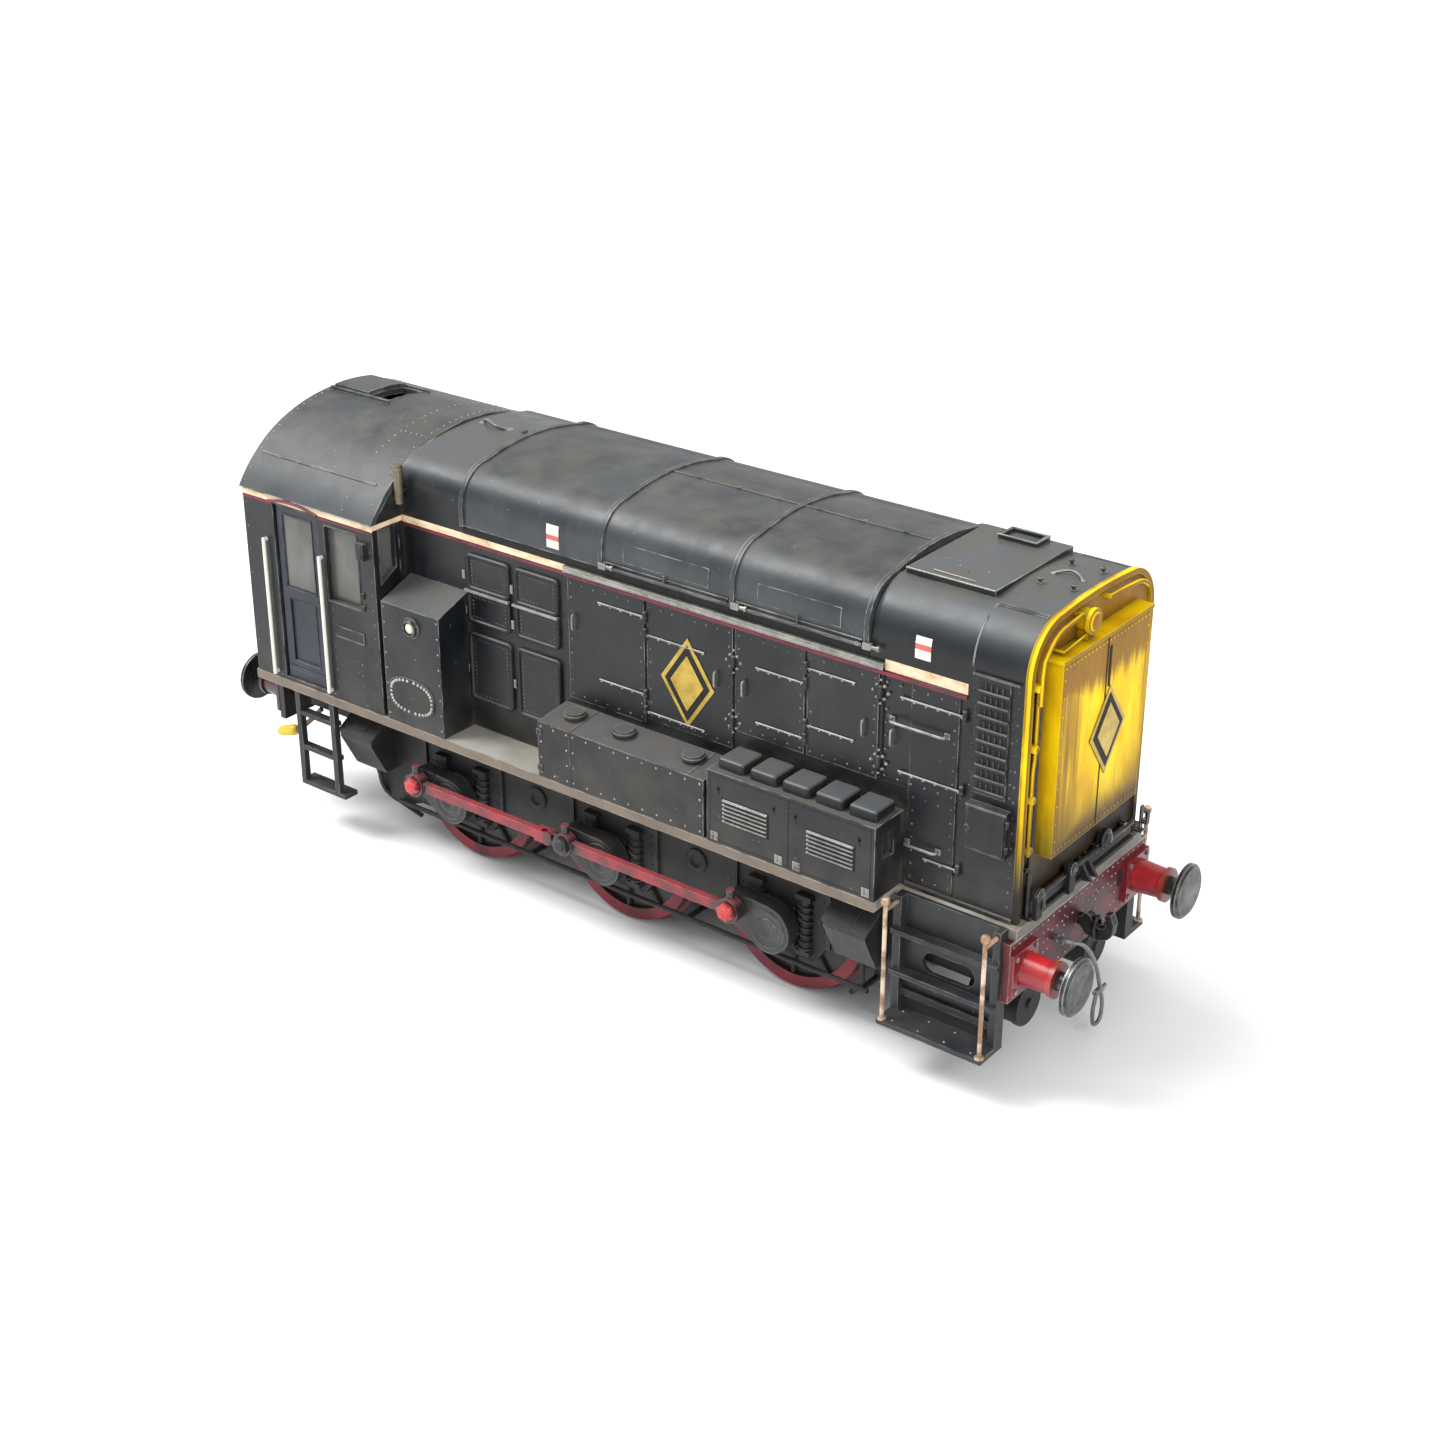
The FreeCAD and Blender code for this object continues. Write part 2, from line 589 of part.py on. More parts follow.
def make_beam_front():
    name = "beam_front"
    back = S.beam_face - S.beam_thickness
    plate = box(name + "_plate", (back, S.beam_face), (-S.beam_half, S.beam_half),
                (S.beam_bottom, S.footplate_bottom))
    tools = [rod("%s_hole_%d" % (name, way + 1), "X", S.stem_radius + S.running_gap,
                 (back - 1, S.beam_face + 1), (S.buffer_side * way, S.buffer_height))
             for way in (-1, 1)]
    slot_half = S.hook_half + S.hook_play
    tools.append(box(name + "_slot", (back - 1, S.beam_face + 1), (-slot_half, slot_half),
                     (S.buffer_height - 1.0, S.buffer_height + 1.1)))
    return cut(name, plate, *tools)


# ---------------------------------------------------------------- buffers and hooks

def make_buffer_housing():
    name = "buffer_housing"
    across = (-S.buffer_side, S.buffer_height)
    plate_end = S.beam_face + S.housing_plate_depth
    half = S.housing_plate
    plate = box(name + "_plate", (S.beam_face, plate_end),
                (across[0] - half, across[0] + half), (across[1] - half, across[1] + half))
    tube = taper(name + "_tube", "X", (S.housing_root, S.housing_tip),
                 (plate_end - 0.2, S.housing_end), across)
    ring = rod(name + "_ring", "X", S.housing_ring, (S.housing_end - 0.9, S.housing_end), across)
    chamber = rod(name + "_chamber", "X", S.chamber_radius,
                  (S.beam_face - 1, S.chamber_end), across)
    guide = rod(name + "_guide", "X", S.head_shank + S.running_gap,
                (S.chamber_end - 1, S.housing_end + 1), across)
    return cut(name, join(name + "_body", plate, tube, ring), chamber, guide)


def make_buffer_housings():
    right = make_buffer_housing()
    left = other_side(right)
    return group("buffer_housings", right, left, other_end(right), other_end(left))


def make_buffer_head():
    name = "buffer_head_front_right"
    across = (-S.buffer_side, S.buffer_height)
    back = S.buffer_reach - S.head_thickness
    pieces = [taper(name + "_face", "X", (S.head_radius, S.head_radius - 0.7),
                    (S.buffer_reach - 0.5, S.buffer_reach), across),
              rod(name + "_disc", "X", S.head_radius, (back, S.buffer_reach - 0.5), across),
              rod(name + "_shank", "X", S.head_shank, (S.head_shoulder, back + 0.3), across),
              rod(name + "_stem", "X", S.stem_radius, (S.stem_end, S.head_shoulder + 1), across),
              rod(name + "_nut", "X", S.stem_nut, (S.stem_end, S.stem_end + 1.3), across)]
    return join(name, *pieces)


def make_buffer_spring(end, side):
    """A compression spring round the buffer stem, from the beam to the shank's shoulder."""
    low = SIZES["beam_face"] + SIZES["coil_wire"] + 0.05
    high = SIZES["head_shoulder"] - SIZES["coil_wire"] - 0.05
    turns, wire_sides = 5, 10
    radius, wire = SIZES["coil_radius"], SIZES["coil_wire"]
    helix = Part.makeHelix((high - low) / turns, high - low, radius)
    corners = []
    for corner in range(wire_sides):
        angle = 2 * math.pi * corner / wire_sides
        corners.append(FreeCAD.Vector(radius + wire * math.cos(angle), 0, wire * math.sin(angle)))
    section = Part.makePolygon(corners + corners[:1])
    coil = Part.Wire(helix.Edges).makePipeShell([section], True, True)
    start = low if end == "front" else -high
    name = "buffer_spring_%s_%s" % (end, "right" if side == RIGHT else "left")
    return solid(name, coil, (start, side * SIZES["buffer_side"], SIZES["buffer_height"]), "X")


def four_corners(stem, right):
    """The other three of a set of four: front left, rear right and rear left."""
    left = mirror(stem + "_front_left", right, (0, 1, 0))
    rear_right = mirror(stem + "_rear_right", right, (1, 0, 0))
    return [right, left, rear_right, mirror(stem + "_rear_left", left, (1, 0, 0))]


def make_drawhook():
    name = "drawhook_front"
    mid = S.buffer_height
    tail = S.hook_tail
    outline = [(tail, mid - 0.8), (91.6, mid - 0.8), (92.4, mid - 1.9), (95.4, mid - 2.6, 6.0),
               (97.9, mid - 0.9, 3.0), (98.2, mid + 1.2), (97.4, mid + 3.1), (96.3, mid + 2.9),
               (96.6, mid + 0.8), (95.6, mid - 0.2, -1.2), (94.4, mid + 0.3, -1.2),
               (93.6, mid + 1.7), (92.6, mid + 2.1), (91.6, mid + 0.9), (tail, mid + 0.9)]
    hook = prism(name + "_plate", "XZ", outline, (-S.hook_half, S.hook_half))
    nut_half = S.hook_nut_half
    nut = box(name + "_nut", (tail, tail + 1.5), (-nut_half, nut_half),
              (mid - nut_half, mid + nut_half))
    return join(name, hook, nut)


# ---------------------------------------------------------------- drive

def make_motor_can():
    name = "motor_can"
    across = (0, S.shaft_height)
    shell = join(name + "_shell",
                 rod(name + "_drum", "X", S.motor_radius, (S.motor_rear, S.motor_front), across),
                 rod(name + "_boss", "X", 2.5, (S.motor_rear - 1, S.motor_front + 1), across))
    inner = rod(name + "_inner", "X", S.motor_radius - S.motor_wall,
                (S.motor_rear + S.motor_wall, S.motor_front - S.motor_wall), across)
    bore = rod(name + "_bore", "X", S.shaft_radius + S.running_gap,
               (S.motor_rear - 2, S.motor_front + 2), across)
    return cut(name, shell, inner, bore)


def make_worm_thread():
    """The worm's single thread, whose lowest point lines up with the gear's top space."""
    pitch = 2 * math.pi * SIZES["gear_pitch_radius"] / SIZES["gear_teeth"]
    turns = 7
    start = SIZES["axle_middle"] - 4 * pitch + pitch / 2
    core, tip = SIZES["worm_core"] - 0.15, SIZES["worm_tip"]
    root_half, tip_half = 0.46, 0.2
    corners = [FreeCAD.Vector(core, 0, -root_half), FreeCAD.Vector(tip, 0, -tip_half),
               FreeCAD.Vector(tip, 0, tip_half), FreeCAD.Vector(core, 0, root_half)]
    section = Part.makePolygon(corners + corners[:1])
    helix = Part.makeHelix(pitch, turns * pitch, core)
    thread = Part.Wire(helix.Edges).makePipeShell([section], True, True)
    return solid("worm_thread", thread, (start, 0, SIZES["shaft_height"]), "X")


def make_motor_shaft():
    name = "motor_shaft"
    across = (0, S.shaft_height)
    pieces = [rod(name + "_rod", "X", S.shaft_radius, (S.shaft_rear, S.shaft_front), across),
              rod(name + "_armature", "X", S.armature_radius,
                  (S.motor_rear + S.armature_play, S.motor_front - S.armature_play), across),
              rod(name + "_worm", "X", S.worm_core, (S.worm_rear, S.worm_front), across),
              make_worm_thread()]
    shaft = join(name, *pieces)
    shaft.Refine = False
    return shaft


def make_flywheel():
    across = (0, S.shaft_height)
    span = (S.flywheel_rear, S.flywheel_front)
    return cut("flywheel", rod("flywheel_disc", "X", S.flywheel_radius, span, across),
               rod("flywheel_bore", "X", S.shaft_radius,
                   (span[0] - 1, span[1] + 1), across))


def make_gear():
    """A toothed wheel on the middle axle, with a tooth at its top."""
    teeth = int(SIZES["gear_teeth"])
    root, tip = SIZES["gear_root"], SIZES["gear_tip"]
    root_half, tip_half = 0.45 / root, 0.2 / tip
    points = []
    for tooth in range(teeth):
        middle = math.pi / 2 + 2 * math.pi * tooth / teeth
        for radius, angle in ((root, -root_half), (tip, -tip_half), (tip, tip_half),
                              (root, root_half)):
            points.append(FreeCAD.Vector(radius * math.cos(middle + angle), 0,
                                         radius * math.sin(middle + angle)))
    face = Part.Face(Part.makePolygon(points + points[:1]))
    half = SIZES["gear_half"]
    shape = face.extrude(FreeCAD.Vector(0, 2 * half, 0))
    bore = Part.makeCylinder(SIZES["axle_radius"], 4 * half, FreeCAD.Vector(0, -half, 0),
                             FreeCAD.Vector(0, 1, 0))
    gear = solid("gear", shape.cut(bore))
    gear.Placement.Base = FreeCAD.Vector(SIZES["axle_middle"], -half, SIZES["axle_height"])
    return gear


# ---------------------------------------------------------------- cab

def roof_edge(drop, foot_half, turn):
    """One surface of the roof from foot to foot, turn 1 rightwards to left, -1 back again."""
    knuckle = S.roof_knuckle - drop * 0.33
    height = S.roof_knuckle_height - drop * 0.93
    side, crown = S.roof_side_radius - drop, S.roof_crown_radius - drop
    if turn < 0:
        side, crown = -side, -crown
    return [(foot_half * turn, S.eave), (knuckle * turn, height, side),
            (-knuckle * turn, height, crown), (-foot_half * turn, S.eave, side)]


def make_cab_shell():
    name = "cab_shell"
    half, floor = S.cab_half, S.footplate_top
    inner_half = S.roof_half - S.roof_skin - 0.1
    outline = roof_edge(S.roof_skin, inner_half, 1) + [(-half, S.eave), (-half, floor),
                                                      (half, floor), (half, S.eave)]
    body = prism(name + "_body", "YZ", outline, (S.cab_rear, S.cab_front))
    wall = S.cab_wall
    tools = [box(name + "_room", (S.cab_rear + wall, S.cab_front - wall),
                 (wall - half, half - wall), (30, 95)),
             box(name + "_doors", (S.door_rear, S.door_front), (-35, 35),
                 (S.door_sill, S.door_head)),
             box(name + "_windows", (S.window_rear, S.window_front), (-35, 35),
                 (S.window_sill, S.window_head))]
    for way in (-1, 1):
        pane = [(23.2 * way, 64.0), (27.6 * way, 61.5), (27.6 * way, 73.2), (23.2 * way, 73.2)]
        tools.append(prism("%s_front_%d" % (name, way + 1), "YZ", pane,
                           (S.cab_front - 2, S.cab_front + 1)))
        tools.append(box("%s_back_%d" % (name, way + 1), (S.cab_rear - 1, S.cab_rear + 2),
                         (14.0 * way - 8, 14.0 * way + 8), (55, 71)))
    axis_side = S.cab_half - S.door_set_in - S.door_thickness / 2
    for way in (-1, 1):
        tools.append(rod("%s_pin_hole_%d" % (name, way + 1), "Z", S.door_pin + S.running_gap,
                         (S.door_pin_foot - 0.1, S.door_pin_top + 0.1),
                         (S.door_axis, axis_side * way)))
    return cut(name, body, *tools)


def make_cab_roof():
    name = "cab_roof"
    outer = roof_edge(0, S.roof_half, 1)
    inner = roof_edge(S.roof_skin, S.roof_half - S.roof_skin - 0.1, -1)
    skin = prism(name + "_skin", "YZ", outer + inner, (S.roof_rear, S.roof_front))
    rails = []
    for tag, low, top in (("right", S.hatch_right - 0.9, 89.4), ("left", S.hatch_left + 0.3, 88.6)):
        rails.append(box("%s_rail_%s" % (name, tag), (-90.2, -73.2), (low, low + 0.6),
                         (87.5, top)))
    opening = box(name + "_opening", (-79.7, -74.2), (-1.9, 7.3), (80, 95))
    return cut(name, join(name + "_solid", skin, *rails), opening)


def make_roof_hatch():
    """A sliding plate that follows the crown of the roof."""
    centre = S.roof_knuckle_height.number - math.sqrt(SIZES["roof_crown_radius"] ** 2
                                                      - SIZES["roof_knuckle"] ** 2)
    under = S.roof_crown_radius + S.hatch_lift
    span = (S.hatch_rear, S.hatch_front)
    ring = cut("roof_hatch_ring",
               rod("roof_hatch_over", "X", under + S.hatch_skin, span, (0, centre)),
               rod("roof_hatch_under", "X", under, (span[0] - 1, span[1] + 1), (0, centre)))
    return common("roof_hatch", ring, box("roof_hatch_edge", span,
                                          (S.hatch_right, S.hatch_left), (80, 95)))


def make_cab_door():
    name = "cab_door_right"
    outer = S.cab_half - S.door_set_in
    low, high = S.door_rear + S.door_gap, S.door_front - S.door_gap
    ys = (-outer, S.door_thickness - outer)
    leaf = box(name + "_leaf", (low, high), ys,
               (S.door_sill + S.door_gap, S.door_head - S.door_gap))
    window = box(name + "_window", (low + 2, high - 2), (-30, -20), (55.0, 70.5))
    panel = box(name + "_panel", (low + 2.2, high - 2.2), (-30, ys[0] + 0.3), (38.5, 52.0))
    knob = rod(name + "_knob", "Y", 0.4, (ys[1] - 0.2, ys[1] + 1.0), (high - 1.1, 53.5))
    axis = (S.door_axis, S.door_thickness / 2 - outer)
    plate = cut(name + "_plate", leaf, window, panel,
                box(name + "_heel", (low - 1, S.door_axis), (-30, -20), (30, 80)))
    heel = rod(name + "_barrel", "Z", S.door_thickness / 2,
               (S.door_sill + S.door_gap, S.door_head - S.door_gap), axis)
    pin = rod(name + "_pin", "Z", S.door_pin, (S.door_pin_foot, S.door_pin_top), axis)
    return join(name, plate, heel, pin, knob)


def make_cab_glazing():
    lap, wall, thick = S.glass_lap, S.cab_wall, S.glass
    side = box("glazing_side", (S.window_rear - lap, S.window_front + lap),
               (wall - S.cab_half, wall - S.cab_half + thick),
               (S.window_sill - lap, S.window_head + lap))
    front = box("glazing_front", (S.cab_front - wall - thick, S.cab_front - wall),
                (-27.85, -22.4), (60.8, 73.9))
    back = box("glazing_back", (S.cab_rear + wall, S.cab_rear + wall + thick),
               (-22.7, -5.3), (54.2, 71.8))
    panes = [side, front, back]
    return group("cab_glazing", *(panes + [other_side(pane) for pane in panes]))


def make_cab_interior():
    name = "cab_interior"
    floor = box(name + "_floor", (-89.2, -54.3), (-27.7, 27.7), (S.footplate_top, S.floor_top))
    desk = prism(name + "_desk", "XZ", [(-61.0, 33.5), (-54.4, 33.5), (-54.4, 60.0),
                                        (-58.0, 60.0), (-61.0, 55.0)], (-11.0, 11.0))
    seats = []
    for way in (-1, 1):
        tag = "%s_seat_%d" % (name, way + 1)
        y = 20.5 * way
        seats.append(rod(tag + "_post", "Z", 0.9, (33.5, 44.0), (-62.5, y)))
        seats.append(box(tag + "_cushion", (-65.8, -59.2), (y - 3.2, y + 3.2), (43.6, 45.6)))
        seats.append(box(tag + "_back", (-66.6, -65.5), (y - 3.0, y + 3.0), (43.6, 53.0)))
    return join(name, floor, desk, *seats)


def make_whistle():
    name = "whistle"
    x, y = S.cab_front + 1.3, -22.5
    pieces = [rod(name + "_barrel", "Z", 0.9, (77.6, 85.0), (x, y)),
              rod(name + "_cap", "Z", 1.1, (84.6, 85.6), (x, y)),
              box(name + "_bracket", (S.cab_front, x), (y - 0.3, y + 0.3), (77.9, 78.7))]
    return join(name, *pieces)


# ---------------------------------------------------------------- bonnet

def arch(half, spring, shoulder, rise, foot, turn):
    """An arched top on straight sides, walked from the right foot (turn 1) or the left (-1)."""
    crown_half = half - shoulder
    crown_radius = (crown_half * crown_half + rise * rise) / (2 * rise)
    bend = shoulder
    if turn < 0:
        bend, crown_radius = -shoulder, -crown_radius
    top = spring + shoulder
    return [(half * turn, foot), (half * turn, spring), (crown_half * turn, top, bend),
            (-crown_half * turn, top, crown_radius), (-half * turn, spring, bend),
            (-half * turn, foot)]


def arch_skin(half, spring, shoulder, rise, foot, wall):
    return arch(half, spring, shoulder, rise, foot, 1) + \
        arch(half - wall, spring, shoulder - wall, rise, foot, -1)


def nose_arch(inset, foot, turn=1):
    return arch(S.bonnet_half - inset, S.nose_spring, S.nose_shoulder - inset, S.nose_rise, foot,
                turn)


def make_bonnet_shell():
    name = "bonnet_shell"
    wall, foot = S.bonnet_wall, S.footplate_top
    rear = prism(name + "_rear", "YZ", arch_skin(S.bonnet_half, S.rear_spring, S.rear_shoulder,
                                                 S.rear_rise, foot, wall),
                 (S.cab_front, S.cover_rear))
    nose = prism(name + "_nose", "YZ", arch_skin(S.bonnet_half, S.nose_spring, S.nose_shoulder,
                                                 S.nose_rise, foot, wall),
                 (S.cover_front, S.nose_face))
    front = prism(name + "_front", "YZ", nose_arch(0, foot), (S.nose_face - wall, S.nose_face))
    sides = [box("%s_side_%d" % (name, side + 1), (S.cover_rear - 0.5, S.cover_front + 0.5),
                 side_span(side, S.bonnet_half - wall, S.bonnet_half),
                 (foot, S.cover_foot - 0.05)) for side in (RIGHT, LEFT)]
    hatch = box(name + "_hatch", (60.0, 77.7), (-12.4, 13.3), (87.0, 88.6))
    filler = cut(name + "_filler", box(name + "_collar", (65.4, 73.1), (8.5, 13.3), (86.5, 89.4)),
                 box(name + "_well", (66.0, 72.5), (9.1, 12.7), (88.3, 90.0)))
    return join(name, rear, nose, front, hatch, filler, *sides)


def make_bonnet_cover():
    name = "bonnet_cover"
    low, high = S.cover_rear + S.cover_gap, S.cover_front - S.cover_gap
    skin = prism(name + "_skin", "YZ", arch_skin(S.cover_half, S.cover_spring, S.cover_shoulder,
                                                 S.cover_rise, S.cover_foot, S.bonnet_wall),
                 (low, high))
    beads = []
    for index, start in enumerate((low, as_size(-1.3), as_size(29.2), high - S.bead_width)):
        proud = S.bead_height
        outline = arch_skin(S.cover_half + proud, S.cover_spring, S.cover_shoulder + proud,
                            S.cover_rise, S.cover_foot, S.bonnet_wall + proud)
        beads.append(prism("%s_bead_%d" % (name, index), "YZ", outline,
                           (start, start + S.bead_width)))
    return join(name, skin, *beads)


def make_bonnet_doors():
    """The raised doors, panels and louvre plates on the bonnet's sides."""
    name = "bonnet_door"
    spots = [(x, x + 10.5, low, high) for x in (-35.1, -22.5)
             for low, high in ((39.8, 53.6), (56.5, 62.7), (63.5, 70.3))]
    spots += [(-9.3, 9.3, 47.3, 72.9), (9.9, 29.7, 48.3, 72.9), (30.3, 45.5, 52.1, 72.9),
              (46.1, 61.0, 52.1, 72.9), (67.6, 77.1, 34.2, 72.9), (79.9, 86.5, 55.9, 77.6)]
    doors = [box("%s_%d" % (name, index), (rear, front),
                 side_span(RIGHT, S.bonnet_half, S.bonnet_half + S.door_skin), (low, high))
             for index, (rear, front, low, high) in enumerate(spots)]
    doors.append(box(name + "_box", (79.9, 87.7), side_span(RIGHT, S.bonnet_half, 22.2),
                     (45.6, 54.3)))
    return group("bonnet_doors", *(doors + [other_side(door) for door in doors]))


def make_radiator():
    name = "radiator"
    face, plate = S.nose_face, S.nose_plate
    panel = prism(name + "_panel", "YZ", nose_arch(0.4, 33.4), (face, face + plate))
    bead = prism(name + "_bead", "YZ", nose_arch(-0.2, 33.4) + nose_arch(0.9, 33.4, -1),
                 (face, face + S.nose_bead))
    half = S.radiator_half
    case = box(name + "_case", (face, S.radiator_face), (-half, half),
               (S.radiator_bottom, S.radiator_top))
    shelf = box(name + "_shelf", (face, S.radiator_face + 0.3), (-half - 0.5, half + 0.5),
                (S.radiator_top, S.radiator_top + 0.6))
    return join(name, panel, bead, case, shelf)


def make_headlamp():
    name = "headlamp"
    start = S.nose_face + S.nose_plate
    across = (-4.4, 84.3)
    return join(name, rod(name + "_body", "X", 2.0, (start, start + 2.4), across),
                rod(name + "_rim", "X", 2.3, (start + 1.9, start + 2.6), across),
                box(name + "_foot", (start, start + 2.0), (-5.6, -3.2), (81.1, 83.0)))


def make_nose_pipework():
    name = "nose_pipework"
    start = S.nose_face + S.nose_plate
    bar = rod(name + "_bar", "Y", 0.6, (-17.5, 17.5), (start + 1.4, 37.0))
    posts = [box("%s_post_%d" % (name, index), (start, start + 1.6), (y - 0.5, y + 0.5),
                 (36.2, 37.8)) for index, y in enumerate((-15.0, -5.0, 5.0, 15.0))]
    conduit = rod(name + "_conduit", "Z", 0.5, (33.2, 77.0), (start + 0.7, -17.9))
    clips = [box("%s_clip_%d" % (name, index), (start, start + 0.7), (-18.8, -17.0),
                 (z - 0.4, z + 0.4)) for index, z in enumerate((43.0, 54.0, 65.0, 75.0))]
    return join(name, bar, conduit, *(posts + clips))


# ---------------------------------------------------------------- boxes, steps and rails

def make_tall_boxes():
    outline = [(-S.bonnet_half, S.footplate_top), (-S.bonnet_half, S.tall_inner),
               (-S.box_side, S.tall_outer), (-S.box_side, S.footplate_top)]
    return both_sides("tall_boxes", prism("tall_box", "YZ", outline, (S.tall_rear, S.tall_front)))


def make_fuel_tanks():
    name = "fuel_tank"
    outline = [(-S.bonnet_half, S.footplate_top), (-S.bonnet_half, S.tank_inner),
               (-S.box_side, S.tank_outer), (-S.box_side, S.footplate_top)]
    tank = prism(name + "_body", "YZ", outline, (S.tank_rear, S.tank_front))
    caps = [rod("%s_cap_%d" % (name, index), "Z", S.tank_cap, (44.0, 46.8), (x, -24.6))
            for index, x in enumerate((-5.2, 6.9, 23.4))]
    return both_sides("fuel_tanks", join(name, tank, *caps))


def rounded_box(name, xs, ys, zs, radius):
    """A box with every edge rounded."""
    plain = box(name + "_plain", xs, ys, zs)
    item = doc.addObject("Part::Fillet", name)
    item.Base = plain
    item.Edges = [(edge, radius, radius) for edge in range(1, 13)]
    return item


def make_battery_boxes():
    name = "battery_box"
    case = box(name + "_case", (S.battery_rear, S.battery_front),
               side_span(RIGHT, S.bonnet_half, S.box_side), (S.footplate_top, S.battery_top))
    pads = []
    for index in range(5):
        start = S.pad_first - S.pad_length / 2 + S.pad_pitch * index
        pads.append(rounded_box("%s_pad_%d" % (name, index), (start, start + S.pad_length),
                                (-27.9, -21.5), (S.battery_top - 1.0, S.pad_top), 0.7))
    recess = box(name + "_recess", (S.battery_front - 0.8, S.battery_front + 1), (-27.0, -23.5),
                 (40.5, 45.5))
    return both_sides("battery_boxes", cut(name, join(name + "_solid", case, *pads), recess))


def make_front_steps():
    name = "front_step"
    inner = S.footplate_narrow
    ys = (-inner - 0.8, -inner)
    low, high, level = 75.3, 81.7, 21.0
    sheet = box(name + "_sheet", (S.step_rear, S.step_front), ys,
                (S.step_tread_bottom, S.footplate_top))
    hole = [rod(name + "_hole_rear", "Y", 2.1, (-24, -21), (low, level)),
            rod(name + "_hole_front", "Y", 2.1, (-24, -21), (high, level)),
            box(name + "_hole", (low, high), (-24, -21), (level - 2.1, level + 2.1))]
    pieces = [box(name + "_tread", (S.step_rear, S.step_front), (-S.footplate_half, -23.2),
                  (S.step_tread_bottom, S.step_tread)),
              box(name + "_post_rear", (S.step_rear, S.step_rear + 1.6), (-24.8, -inner),
                  (S.step_tread_bottom, S.footplate_top)),
              box(name + "_post_front", (S.step_front - 1.4, S.step_front), (-24.8, -inner),
                  (S.step_tread_bottom, S.footplate_top)),
              cut(name + "_back", sheet, *hole),
              box(name + "_kick", (S.step_rear, S.step_front), (-23.9, -23.2), (13.0, 14.4))]
    for index, height in enumerate((17.6, 26.0)):
        pieces.append(box("%s_rung_%d" % (name, index), (S.step_rear, S.step_front),
                          (-25.6, -23.4), (height, height + 0.9)))
    return both_sides("front_steps", join(name, *pieces))


def make_rear_ladders():
    name = "rear_ladder"
    ys = (-29.1, -27.7)
    low, high = S.ladder_rear, S.ladder_front
    pieces = [box(name + "_stile_0", (low, low + 1.3), ys, (S.ladder_bottom, S.footplate_bottom)),
              box(name + "_stile_1", (high - 1.3, high), ys, (S.ladder_bottom,
                                                               S.footplate_bottom)),
              box(name + "_tread", (low, high + 1.6), (-29.1, -25.6),
                  (S.ladder_bottom - 0.5, S.ladder_bottom + 0.5))]
    for index, height in enumerate((17.8, 25.8)):
        pieces.append(box("%s_rung_%d" % (name, index), (low, high), (-29.0, -27.2),
                          (height, height + 1.0)))
    return both_sides("rear_ladders", join(name, *pieces))


def make_sand_boxes():
    name = "sand_box"
    side = S.frame_outside
    outline = [(-side, 16.5), (-side, 28.0), (-24.0, 28.0), (-28.3, 25.2), (-28.3, 24.0),
               (-24.4, 16.5)]
    rear = prism(name + "_rear", "YZ", outline, (-67.4, -58.5))
    front = prism(name + "_front", "YZ", outline, (55.6, 64.4))
    return group("sand_boxes", rear, front, other_side(rear), other_side(front))


def make_air_vessels():
    """Two short cylinders hung under the front of the footplate."""
    name = "air_vessel"
    side, height, radius = S.vessel_side, S.vessel_height, S.vessel_radius
    across = (-side, height)
    pieces = [rod(name + "_drum", "X", radius, (S.vessel_rear, S.vessel_front), across),
              rod(name + "_rim", "X", radius + 0.2,
                  (S.vessel_front - 1.2, S.vessel_front - 0.3), across),
              rod(name + "_plug", "X", 0.9, (S.vessel_front - 0.1, S.vessel_front + 0.5), across),
              box(name + "_hanger", (82.0, 84.0), (-side - 0.6, 0.6 - side),
                  (height + radius - 0.5, S.footplate_bottom))]
    return both_sides("air_vessels", join(name, *pieces))


def make_brake_gear():
    name = "brake_gear"
    height, side, radius = S.brake_rod_height, S.brake_rod_side, S.brake_rod_radius
    pieces = []
    for way in (RIGHT, LEFT):
        pieces.append(rod("%s_pull_%d" % (name, way + 1), "X", radius, (-58.0, 61.0),
                          (side * way, height)))
    for axle in AXLES:
        x = axle_at(axle)
        near, far = x + S.hanger_near, x + S.hanger_far
        pieces.append(rod("%s_beam_%s" % (name, axle), "Y", 0.6, (-side, side),
                          ((near + far) / 2, height)))
        for way in (RIGHT, LEFT):
            tag = "%s_%s_%d" % (name, axle, way + 1)
            pieces.append(box(tag + "_hanger", (near, far), side_span(way, 15.6, 16.8),
                              (height - 0.4, S.footplate_bottom)))
            width = side_span(way, 15.7, 17.5)
            centre = (x, S.axle_height)
            ring = cut(tag + "_ring",
                       rod(tag + "_outer", "Y", S.block_outer_radius, width, centre),
                       rod(tag + "_inner", "Y", S.block_inner_radius, (-18, 18), centre))
            pieces.append(common(tag + "_block", ring,
                                 box(tag + "_reach", (x + 13, x + 19), width,
                                     (S.axle_height - 6, S.axle_height + 6))))
    return join(name, *pieces)


def hand_rail(name, x, side, ends, wall):
    """An upright wire with a short stand-off at each end."""
    radius = S.rail_radius
    feet = [rod("%s_foot_%d" % (name, index), "Y", radius, (-side, -as_size(wall)), (x, z))
            for index, z in enumerate((ends[0] + 0.4, ends[1] - 0.4))]
    return join(name, rod(name + "_wire", "Z", radius, ends, (x, -side)), *feet)


def step_rail(name, x):
    """A wire from the lower tread to a knob on an arm out of the step's post."""
    side = as_size(28.6)
    top = as_size(34.0)
    return join(name, rod(name + "_wire", "Z", S.rail_radius, (S.step_tread, top), (x, -side)),
                ball(name + "_knob", 0.8, (x, -side, top)),
                rod(name + "_arm", "Y", 0.35, (-side, -24.8), (x, 32.2)))


